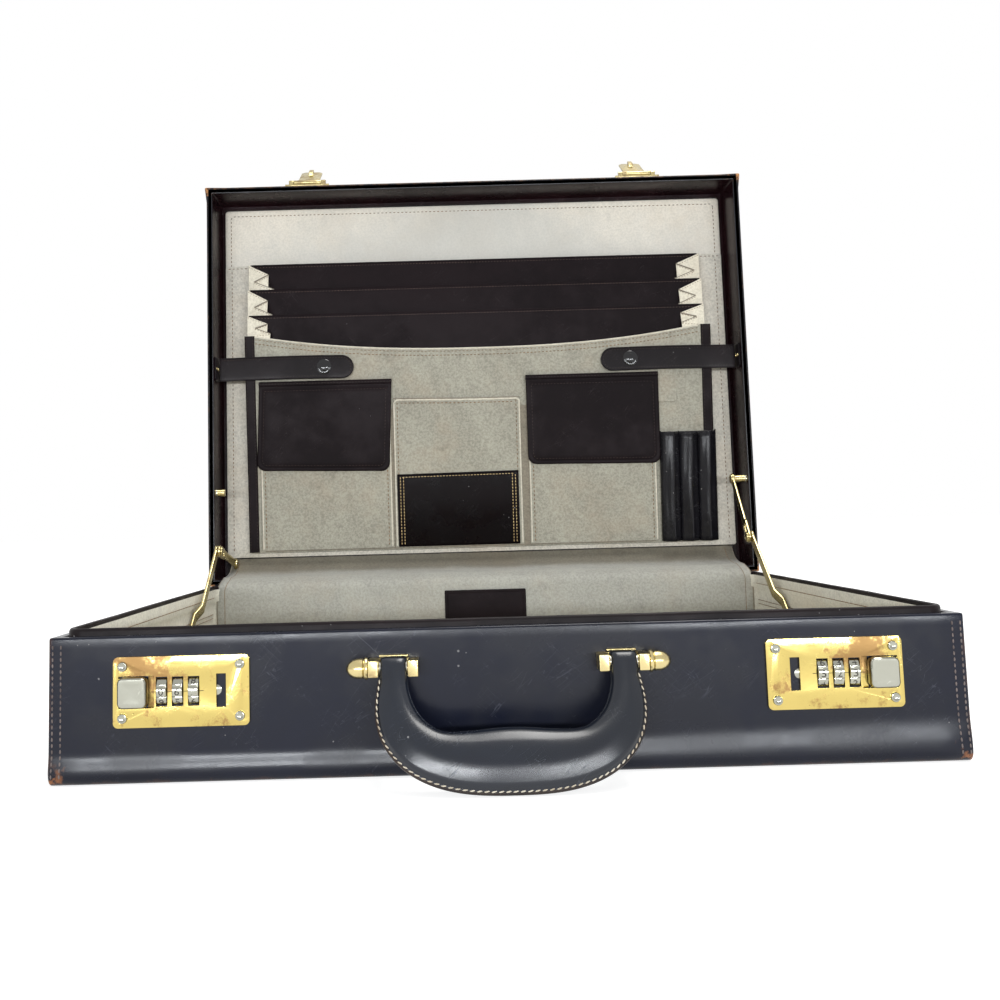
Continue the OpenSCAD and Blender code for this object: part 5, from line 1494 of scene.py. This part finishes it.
@dataclass
class Straps:
    """Two straps with snaps, sewn to leather tabs on the lid's side walls."""

    middle: float = 183.0
    half: float = 10.0
    root: float = 217.6
    tip: float = 104.6
    snap: float = 129.6
    back: float = 15.9
    thick: float = 2.1

    def strap(self, side: Side) -> None:
        """Strap: a bar with a round end and eased edges, which bows slightly towards the viewer."""
        made = Skin()
        s = side.value
        length, count = self.root - self.tip, 44
        a = np.concatenate([self.half * (1 - np.cos(np.linspace(0, np.pi / 2, 12))),
                            np.linspace(self.half + 2, length, count)])
        half = np.sqrt(np.maximum(self.half**2 - np.maximum(self.half - a, 0) ** 2, 0.01))
        x = s * (self.tip + a)
        bow = 0.5 * np.sin(np.pi * a / length)
        line = lid_place(x, self.middle + 0.5 * np.sin(a * 0.03), self.back - self.thick / 2 - bow)
        cut = softened(1.0, 1.0, 5.0, 24)
        offset = np.zeros((len(a), len(cut), 3))
        offset[..., 1] = self.thick / 2 * cut[None, :, 1]
        offset[..., 2] = half[:, None] * cut[None, :, 0]
        rings = line[:, None] + offset
        made.stack(rings)
        edge = 7.8
        run = np.linspace(self.tip + 10, self.root - 1, 60)
        turn = np.linspace(np.pi / 2, -np.pi / 2, 20)
        px = np.concatenate([run[::-1], self.tip + self.half - edge * np.cos(turn), run])
        pz = np.concatenate([np.full(60, edge), edge * np.sin(turn), np.full(60, -edge)])
        drop = 0.5 * np.sin(np.pi * (px - self.tip) / length)
        path = lid_place(s * px, self.middle + pz + 0.5 * np.sin((px - self.tip) * 0.03),
                         self.back - self.thick - drop - 0.02)
        made.stitches(path, FRONT, pitch=2.4, length=1.6, width=0.36, slot=2)
        face = self.back - self.thick - 0.5 * np.sin(np.pi * (self.snap - self.tip) / length)
        made.lathe(lid_place(s * self.snap, self.middle + 0.4, face).ravel(), FRONT,
                   [(0, 0.05), (6.3, 0.05), (6.4, 0.5), (5.9, 0.95), (5.2, 1.15), (4.6, 1.05), (4.2, 1.3),
                    (3.0, 1.75), (1.5, 1.95), (0, 2.0)],
                   slot=1, around=32)
        word = side.word
        dress(made.build(f"strap_{word}_leather", 45), f"strap_{word}", [STRAP_HIDE, CAP_BLACK, DARK],
              [f"strap_{word}"])

    def tabs(self) -> None:
        """Tabs on the side walls that the straps are sewn to, with two rivets each."""
        made = Skin()
        for s in (-1, 1):
            place = lambda x, lift, y: lid_place(s * (220.15 - lift), y, x)
            made.plate(place, (12.0, 183), (7.6, 10), 2.0,
                       [(0.8, 0), (0, 0.3), (0, 1.0), (0.5, 1.5), (7, 1.55)])
            for w in (7.5, 13.0):
                made.lathe(lid_place(s * 218.6, 183.0, w).ravel(), (-s, 0, 0),
                           [(0, 0), (1.4, 0), (1.3, 0.35), (0.7, 0.6), (0, 0.65)],
                           slot=1, around=16)
        dress(made.build("strap_tabs"), "lid", [STRAP_HIDE, BRASS], ["strap_anchors"])

    def build(self) -> None:
        """Makes both straps and their tabs."""
        self.strap(Side.LEFT)
        self.strap(Side.RIGHT)
        self.tabs()


@dataclass
class Locks:
    """Two combination locks: plate, dished screws, button, dials with figures, and the slot's catch."""

    centre: tuple[float, float] = (159.5, 44.2)
    front: float = -168.6
    screw: tuple[float, float] = (28.65, 12.4)
    dial_at: tuple[float, ...] = (169.0, 161.2, 153.4)
    axis_y: float = -161.8
    dial_r: float = 8.6
    button_x: float = 182.7
    slot_x: float = 140.0
    shown: tuple[tuple[int, ...], ...] = ((0, 6, 7), (3, 2, 5))

    def plates(self) -> None:
        """Plates with eased edges, short dashes between the windows, and the strip seen beside the button."""
        eased_piece("lock_plate_gold", "lock_plates", "tray", GOLD, 0.5, 3)
        marks, strips = Skin(), Skin()
        for s in (-1, 1):
            for k in range(4):
                dash = s * np.linspace(148.5 + 7.8 * k, 150.5 + 7.8 * k, 4)
                path = tray_place(dash, self.front - 0.02, self.centre[1])
                marks.bar(path, UP, circle(6, 0.14, 0.08))
            place = lambda x, lift, y: tray_place(x, -167.15 - lift, y)
            strips.plate(place, (s * 174.3, self.centre[1]), (1.5, 7.6), 0.3,
                         [(0.1, 0), (0, 0.1), (0, 0.35), (0.1, 0.43)])
        dress(marks.build("lock_plate_marks"), "tray", [DARK_STEEL_AND_SLOT_SHADE])
        dress(strips.build("lock_plate_strips"), "tray", [GOLD])

    def screws(self) -> None:
        """Screws: a turned head with a dish in its face, over the plate's corner."""
        made = Skin()
        for s in (-1, 1):
            for dx in (-1, 1):
                for dz in (-1, 1):
                    at = (s * self.centre[0] + dx * self.screw[0], self.front,
                          self.centre[1] + dz * self.screw[1])
                    made.lathe(at, FRONT, [(0, -5.6), (1.35, -5.6), (1.35, -0.2), (2.4, -0.2), (2.4, 0.35),
                                           (2.15, 0.75), (1.75, 0.85),
                                                (1.3, 0.55), (0.8, 0.3), (0, 0.25)], around=24)
        dress(made.build("lock_screw_heads"), "tray", [NICKEL], ["lock_screws"])

    def button(self, side: Side) -> None:
        """Square button with cut corners, eased edges and a slightly hollow face, and its shank."""
        s = side.value
        made = Skin()
        place = lambda x, lift, y: tray_place(x, self.front + 1.5 - lift, y)
        made.plate(place, (s * self.button_x, self.centre[1]), (7.1, 7.4), 2.4,
                   [(0.3, 0.6), (0, 0.8), (0, 4.5), (0.3, 5.2), (0.85, 5.65), (1.6, 5.7), (3.2, 5.62),
                    (5.5, 5.58)],
                   side=2, arc=2)
        place = lambda x, lift, y: tray_place(x, -158.2 - lift, y)
        made.plate(place, (s * self.button_x, self.centre[1]), (2.4, 2.4), 0.4,
                   [(0.1, 0), (0, 0.1), (0, 9.8)], side=1, arc=2)
        dress(made.build(f"lock_button_{side.word}_cap", 32), f"lock_button_{side.word}", [NICKEL],
              [f"lock_button_{side.word}"])

    def figure(self, number: int) -> tuple[Array, list[list[int]]]:
        """Points and faces of one plain figure, centred, about 2.5 mm wide and 3.5 mm high."""
        curve = bpy.data.curves.new(f"figure_{number}", "FONT")
        curve.body = str(number)
        curve.resolution_u = 3
        curve.extrude = 0.012
        thing = placed(f"figure_{number}", curve)
        bpy.context.view_layer.update()
        mesh = bpy.data.meshes.new_from_object(thing)
        points = np.zeros(len(mesh.vertices) * 3)
        mesh.vertices.foreach_get("co", points)
        points = points.reshape(-1, 3)
        faces = [list(p.vertices) for p in mesh.polygons]
        bpy.data.objects.remove(thing)
        bpy.data.curves.remove(curve)
        bpy.data.meshes.remove(mesh)
        low, high = points.min(0), points.max(0)
        points = (points - (low + high) / 2) / (high - low)
        return points * np.array([2.3, 3.3, 1.0]), faces

    def dials(self) -> None:
        """Dials: a wheel whose radius dips between its ten figures, and the figures wrapped round it.

        A figure's point goes to the angle of its height over the radius, and to the radius plus its own
        thickness.
        """
        figures = [self.figure(n) for n in range(10)]
        for side, shown in zip(Side, self.shown):
            s = side.value
            for k, at in enumerate(self.dial_at):
                made = Skin()
                turn = np.linspace(0, 2 * np.pi, 80, endpoint=False)
                near = np.abs((turn / (2 * np.pi) * 10) % 1 - 0.5)
                radius = self.dial_r - 0.45 * np.exp(-((near / 0.09) ** 2))
                rings = []
                for dx, r in ((-2.45, 0.93), (-2.42, 0.975), (-2.1, 1.0), (2.1, 1.0), (2.42, 0.975),
                              (2.45, 0.93)):
                    rings.append(tray_place(s * at + dx, self.axis_y - r * radius * np.cos(turn),
                                            self.centre[1] + r * radius * np.sin(turn)))
                made.stack(np.array(rings))
                for n in range(10):
                    points, faces = figures[n]
                    angle = (n - shown[k]) * np.pi / 5 + points[:, 1] / self.dial_r
                    r = self.dial_r + 0.03 * points[:, 2]
                    spot = tray_place(s * at + points[:, 0], self.axis_y - r * np.cos(angle),
                                      self.centre[1] + r * np.sin(angle))
                    base = made.count
                    made.points.append(spot)
                    made.faces += [([v + base for v in f], 1) for f in faces]
                    made.count += len(spot)
                name = f"dial_{side.word}_{k + 1}"
                dress(made.build(f"{name}_wheel", 30), name, [NICKEL, INK], [name])

    def catches(self) -> None:
        """Rounded catch seen in the slot: a turned button that moves with the latch."""
        for side in Side:
            made = Skin()
            s = side.value
            made.lathe((s * (self.slot_x + 2.6), -166.4, self.centre[1]), FRONT,
                       [(0, -1.4), (3.0, -1.4), (3.1, -0.3), (2.7, 0.5), (1.6, 0.95), (0, 1.1)], around=28)
            dress(made.build(f"latch_{side.word}_nose"), f"latch_{side.word}", [NICKEL])
            refinish(f"latch_{side.word}", PIN_STEEL)
            refinish(f"button_spring_{side.word}", PIN_STEEL)

    def build(self) -> None:
        """Makes both locks."""
        self.plates()
        self.screws()
        self.button(Side.LEFT)
        self.button(Side.RIGHT)
        self.dials()
        self.catches()
        # The lock cases' near-black steel is painted shade inside the slots
        refinish("lock_cases", DARK_STEEL_AND_SLOT_SHADE)
        refinish("dial_axles", PIN_STEEL)


@dataclass
class Handle:
    """Padded leather handle with a stitched flange, on brass mounts."""

    pin_y: float = -175.0
    pin_z: float = 53.5
    lean: float = 32.0
    leg_x: float = 55.5
    leg_drop: float = 7.0
    grip_drop: float = 48.5
    power: float = 2.8
    leg: tuple[float, float] = (13.0, 9.6)
    grip: tuple[float, float] = (27.0, 15.0)

    def place(self, x: Array, drop: Array, out: Array) -> Array:
        """Point of the hanging handle: drop down from the pins, and out towards the viewer."""
        a = np.radians(self.lean)
        drop, out = np.asarray(drop, float), np.asarray(out, float)
        return tray_place(x, self.pin_y - drop * np.sin(a) - out * np.cos(a),
                          self.pin_z - drop * np.cos(a) + out * np.sin(a))

    def hoop(self, t: Array) -> tuple[Array, Array]:
        """Middle line: a superellipse from one leg round the grip to the other."""
        c, s = np.cos(t), np.sin(t)
        x = -self.leg_x * np.sign(c) * np.abs(c) ** (2 / self.power)
        return x, self.leg_drop + (self.grip_drop - self.leg_drop) * np.abs(s) ** (2 / self.power)

    def section(self) -> tuple[Array, Array]:
        """Half of the pad's profile, from inner edge to flange, as shares of width and thickness."""
        a = [-1.0, -0.985, -0.93, -0.83, -0.68, -0.48, -0.28, -0.1, 0.06, 0.2, 0.36, 0.52, 0.67, 0.78, 0.84,
             0.87, 0.93, 0.985,
             1.0]
        b = [0.0, 0.22, 0.44, 0.66, 0.83, 0.94, 0.985, 1.0, 0.98, 0.92, 0.81, 0.69, 0.575, 0.48, 0.36, 0.22,
             0.17, 0.13, 0.0]
        return np.array(a), np.array(b)

    def grip_leather(self) -> None:
        """Grip: a profile carried from one leg's top down, round the hoop and up the other leg.

        Over the pins it is a rounded block that narrows to a rounded end. Below them it becomes the pad
        with its flange, wider and thicker towards the middle, where the inner edge rises in a hump between
        two dips.
        """
        t = np.linspace(0.05, np.pi - 0.05, 96)
        x, drop = self.hoop(t)
        leg = np.array([-4.75, -4.6, -4.1, -3.1, -1.5, 0.5, 2.5, 4.5, 6.5, 8.5, 10.3])
        share = np.concatenate([0.166 * np.clip((leg - 2) / 10, 0, 1), np.abs(np.sin(t)) ** 0.6])
        share = np.concatenate([share, share[:len(leg)][::-1]])
        x = np.concatenate([np.full(len(leg), x[0]), x, np.full(len(leg), x[-1])])
        drop = np.concatenate([leg, drop, leg[::-1]])
        along = unit(np.gradient(np.stack([x, drop], -1), axis=0))
        outward = np.stack([-along[:, 1], along[:, 0]], -1)
        top = np.sqrt(1 - np.clip((-1.2 - drop) / 3.62, 0, 1) ** 2)
        wide = (self.leg[0] + (self.grip[0] - self.leg[0]) * share) / 2 - 0.1
        thick = (self.leg[1] + (self.grip[1] - self.leg[1]) * share) / 2 * top
        pad = np.clip((drop - 2.0) / 5, 0, 1)
        pad = (pad * pad * (3 - 2 * pad))[:, None]
        a, b = self.section()
        plain = (1 - np.abs(a) ** 4) ** 0.25
        a, b, plain = (np.concatenate([v, k * v[-2:0:-1]]) for v, k in ((a, 1), (b, -1), (plain, -1)))
        hump = (3.9 * np.exp(-((x / 25) ** 2)) - 1.2 * np.exp(-(((np.abs(x) - 38) / 10) ** 2))) * pad[:, 0]
        reach = a[None, :] * wide[:, None] - np.where(a < 0, -a, 0)[None, :] * hump[:, None]
        over = (pad * b[None, :] + (1 - pad) * plain[None, :]) * thick[:, None]
        body = self.place(x[:, None] + outward[:, :1] * reach, drop[:, None] + outward[:, 1:] * reach, over)
        made = Skin()
        made.stack(body)
        sewn = slice(8, -8)
        edge = np.stack([x, drop], -1)[sewn] + outward[sewn] * wide[sewn, None] * 0.925
        for face in (-1, 1):
            out = self.place(0, 0, face) - self.place(0, 0, 0)
            path = self.place(edge[:, 0], edge[:, 1], face * (thick[sewn] * 0.172 + 0.05))
            made.stitches(path, out, 3.2, 2.6, 0.8, slot=1, slant=0.25 * face)
        rim = Skin()
        edge = np.stack([x, drop], -1)[sewn] + outward[sewn] * wide[sewn, None] * 0.975
        rings = []
        for da, lift in ((-0.5, 0.172), (0.0, 0.175), (0.42, 0.13), (0.55, 0.0), (0.42, -0.13),
                         (0.0, -0.175), (-0.5, -0.172)):
            rings.append(self.place(edge[:, 0] + outward[sewn, 0] * da, edge[:, 1] + outward[sewn, 1] * da,
                                    lift * thick[sewn]))
        rim.stack(np.array(rings).transpose(1, 0, 2))
        grip = dress(made.build("handle_grip_leather", 60), "handle", [HANDLE_HIDE, PALE],
                     ["handle_grip"])
        dress(rim.build("handle_flange_edge", 60), "handle", [FLANGE_HIDE])

    def pins(self) -> None:
        """Turned pins: each ends in a ring and a bullet, with a washer on both sides of the leg."""
        made = Skin()
        bullet = [(0, -24.2), (2.0, -24.2), (2.0, 0), (4.6, 0), (5.2, 0.25), (5.4, 0.9), (5.15, 1.6),
                  (4.3, 2.0),
                  (4.75, 2.6), (4.75, 5.2), (4.3, 7.2), (3.3, 9.0), (1.7, 10.3), (0, 10.7)]
        washer = [(2.05, 0), (3.4, 0.02), (3.6, 0.15), (3.6, 0.35), (3.4, 0.48), (2.05, 0.5), (2.05, 0)]
        for s in (-1, 1):
            made.lathe((s * 67.65, self.pin_y, self.pin_z), (s, 0, 0), bullet)
            for x in (48.45, 62.05):
                made.lathe((s * x, self.pin_y, self.pin_z), (s, 0, 0), washer)
        dress(made.build("handle_pin_brass", 35), "tray", [BRASS], ["handle_pins"])

    def mounts(self) -> None:
        """Mounts: a small back plate, a block on each side of the leg and a thin bar over the leather."""
        made = Skin()
        place = lambda x, lift, y: tray_place(x, -167.05 - lift, y)
        for s in (-1, 1):
            for x, z, half, lift in ((55.5, 53.5, (12.1, 3.8), 1.0), (45.9, 53.5, (2.5, 4.0), 12.1),
                                     (65.1, 53.5, (2.5, 4.0), 12.1), (55.5, 58.4, (7.2, 0.6), 2.8)):
                rise = [(0.15, 0), (0, 0.15), (0, lift - 0.5), (0.14, lift - 0.14), (0.5, lift)]
                made.plate(place, (s * x, z), half, 0.5, rise, side=1, arc=3)
        dress(made.build("handle_mount_brass", 35), "tray", [BRASS], ["handle_mounts"])

    def build(self) -> None:
        """Makes the handle and its mounts."""
        self.grip_leather()
        self.mounts()
        self.pins()
        refinish("handle_core", PIN_STEEL)


@dataclass
class Hardware:
    """Hasps, lid stays and the piano hinge."""

    hasp_pin: tuple[float, float] = (174.6, 411.6)
    hasp_open: float = -148.0
    tongue_low: float = 0.0003
    tongue_top: float = 0.0007
    tongue_start: float = -0.006
    stud: tuple[float, float] = (177.0, 150.2)
    knee: tuple[float, float] = (138.6, 103.2)

    def hasps(self) -> None:
        """Hasp bases and flaps with eased edges; the tongue is drawn in to half of its length.

        A point's place across the flap comes from turning it back by the angle at which the flap stands
        open.
        """
        eased_piece("hasp_base_brass", "hasp_bases", "lid", AGED_BRASS, 0.3)
        c, s = np.cos(np.radians(self.hasp_open)), np.sin(np.radians(self.hasp_open))
        for side in Side:
            node = f"hasp_{side.word}"
            piece = eased_copy(f"{node}_brass", node, 0.35, 2)
            for point in piece.data.vertices:
                y, z = point.co.y - self.hasp_pin[0] * MM, point.co.z - self.hasp_pin[1] * MM
                along, across = y * c + z * s, z * c - y * s
                if across < self.tongue_low and along < self.tongue_start:
                    across = (across + self.tongue_top) / 2
                    point.co.y = self.hasp_pin[0] * MM + along * c - across * s
                    point.co.z = self.hasp_pin[1] * MM + along * s + across * c
            dress(piece, node, [AGED_BRASS], [node])

    def stays(self) -> None:
        """Stay bars, rivets and studs with eased edges."""
        eased_piece("stay_tray_rivet_brass", "stay_tray_rivets", "tray", BRASS, 0.3)
        eased_piece("stay_lid_stud_brass", "stay_lid_studs", "lid", BRASS, 0.3)
        for side in Side:
            for part in ("arm", "link"):
                node = f"stay_{part}_{side.word}"
                eased_piece(f"{node}_brass", node, node, BRASS, 0.4)
        washers = Skin()
        for s in (-1, 1):
            washers.lathe((s * 220.15, *self.stud), (-s, 0, 0),
                          [(0, 0), (3.2, 0), (3.4, 0.4), (3.2, 1.5), (2.6, 2.2),
                          (1.8, 2.3), (0, 2.3)], around=32)
        dress(washers.build("stay_stud_washers"), "lid", [NICKEL])
        head = Skin()
        head.lathe((207.85, *self.knee), (-1, 0, 0),
                   [(0, 0), (3.9, 0), (4.2, 0.3), (3.9, 1.0), (2.6, 1.7), (0, 2.0)], around=32)
        dress(head.build("stay_knee_right_head"), "stay_link_right", [BRASS])

    def build(self) -> None:
        """Makes the hardware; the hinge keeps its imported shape."""
        self.hasps()
        self.stays()
        for node in ("hinge_leaf_lower", "hinge_leaf_upper", "hinge_pin"):
            refinish(node, BRASS)


@dataclass
class Studio:
    """Camera, pale floor, white surroundings and soft lamps."""

    eye: Point = (-0.0256, -0.6821, 0.1250)
    yaw: float = 0.083
    pitch: float = 5.365
    roll: float = -1.592
    lens: float = 37.206
    shift: tuple[float, float] = (0.05, -0.08)
    floor_glow: float = 0.78
    seen_light: float = 0.55
    even_light: float = 0.45

    def camera(self) -> None:
        """Camera turned by yaw, pitch and roll; its axes are the right, up and backward directions."""
        yaw, pitch, roll = np.radians([self.yaw, self.pitch, self.roll])
        ahead = np.array([np.sin(yaw) * np.cos(pitch), np.cos(yaw) * np.cos(pitch), np.sin(pitch)])
        right = np.array([np.cos(yaw), -np.sin(yaw), 0.0])
        up = np.cross(right, ahead)
        across = np.cos(roll) * right + np.sin(roll) * up
        high = -np.sin(roll) * right + np.cos(roll) * up
        data = bpy.data.cameras.new("camera")
        data.lens, data.sensor_width = self.lens, 36.0
        data.shift_x, data.shift_y = self.shift
        data.clip_start = 0.01
        thing = placed("camera", data)
        turn = np.eye(4)
        turn[:3, 0], turn[:3, 1], turn[:3, 2], turn[:3, 3] = across, high, -ahead, self.eye
        thing.matrix_world = Matrix(turn.tolist())
        bpy.context.scene.camera = thing

    @staticmethod
    def seen(net: Net) -> bpy.types.NodeSocket:
        """One for rays of the camera, of reflections and through glass, and zero for the others."""
        path = net.add("LightPath").outputs
        return net.most(net.most(path["Is Camera Ray"], path["Is Glossy Ray"]), path["Is Transmission Ray"])

    def floor(self) -> None:
        """Wide floor: pale paint that takes shadows, and even white for the camera and for reflections."""
        made = Skin()
        outline = rounded_outline(9000, 9000, 10, 4, 2)
        made.stack(np.array([at_height(outline, z) for z in (-12.0, -0.02)]))
        floor = made.build("studio_floor")
        paint = bpy.data.materials.new("pale floor")
        paint.use_nodes = True
        net = Net(paint.node_tree)
        shader = paint.node_tree.nodes["Principled BSDF"]
        vector = net.add("TexCoord").outputs["Object"]
        tone = net.span(net.noise(vector, 3.0), 0.3, 0.7)
        net.tree.links.new(net.blend(tone, (0.62, 0.62, 0.62), (0.63, 0.63, 0.63)),
                           shader.inputs["Base Color"])
        shader.inputs["Roughness"].default_value = 0.9
        shader.inputs["Specular IOR Level"].default_value = 0.0
        glow = net.times(self.seen(net), self.floor_glow)
        shader.inputs["Emission Color"].default_value = (1, 1, 1, 1)
        net.tree.links.new(glow, shader.inputs["Emission Strength"])
        floor.data.materials.append(paint)

    def surroundings(self) -> None:
        """World: white where it is seen or mirrored, and an even soft light elsewhere."""
        world = bpy.data.worlds.new("soft white room")
        bpy.context.scene.world = world
        world.use_nodes = True
        net = Net(world.node_tree)
        level = net.plus(net.times(self.seen(net), self.seen_light), self.even_light)
        ground = world.node_tree.nodes["Background"]
        ground.inputs["Color"].default_value = (1, 1, 1, 1)
        world.node_tree.links.new(level, ground.inputs["Strength"])

    def lamp(self, name: str, at: Point, aim: Point, size: tuple[float, float], power: float,
             colour: Colour = (1.0, 1.0, 1.0)) -> None:
        """Rectangular lamp at a place, turned towards another."""
        data = bpy.data.lights.new(name, "AREA")
        data.shape, data.size, data.size_y, data.energy, data.color = "RECTANGLE", size[0], size[1], power, colour
        thing = placed(name, data)
        thing.location = at
        thing.rotation_euler = (Vector(aim) - Vector(at)).to_track_quat("-Z", "Y").to_euler()

    def build(self) -> None:
        """Sets up the scene around the case."""
        bpy.context.scene.view_settings.view_transform = "Standard"
        self.camera()
        self.floor()
        self.surroundings()
        self.lamp("ceiling lamp", (0.35, 0.0, 1.9), (0.0, 0.0, 0.1), (1.2, 0.7), 28.0, (1.0, 0.985, 0.95))
        self.lamp("left front lamp", (-0.47, -1.6, 0.2), (-0.1, 0.0, 0.1), (0.85, 0.07), 12.0,
                  (0.93, 0.965, 1.0))
        self.lamp("right front lamp", (0.55, -1.6, 0.2), (0.1, 0.0, 0.1), (0.85, 0.07), 10.0,
                  (0.93, 0.965, 1.0))


def main() -> None:
    """Loads the frame, sets up the studio and builds the case part by part."""
    logging.basicConfig(level=logging.INFO, format="%(message)s")
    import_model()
    Studio().build()
    for part in (Tray(), Lid(), ExpandingFile(), Straps(), Locks(), Handle(), Hardware()):
        LOG.info("building %s", type(part).__name__)
        part.build()


if __name__ == "__main__":
    main()
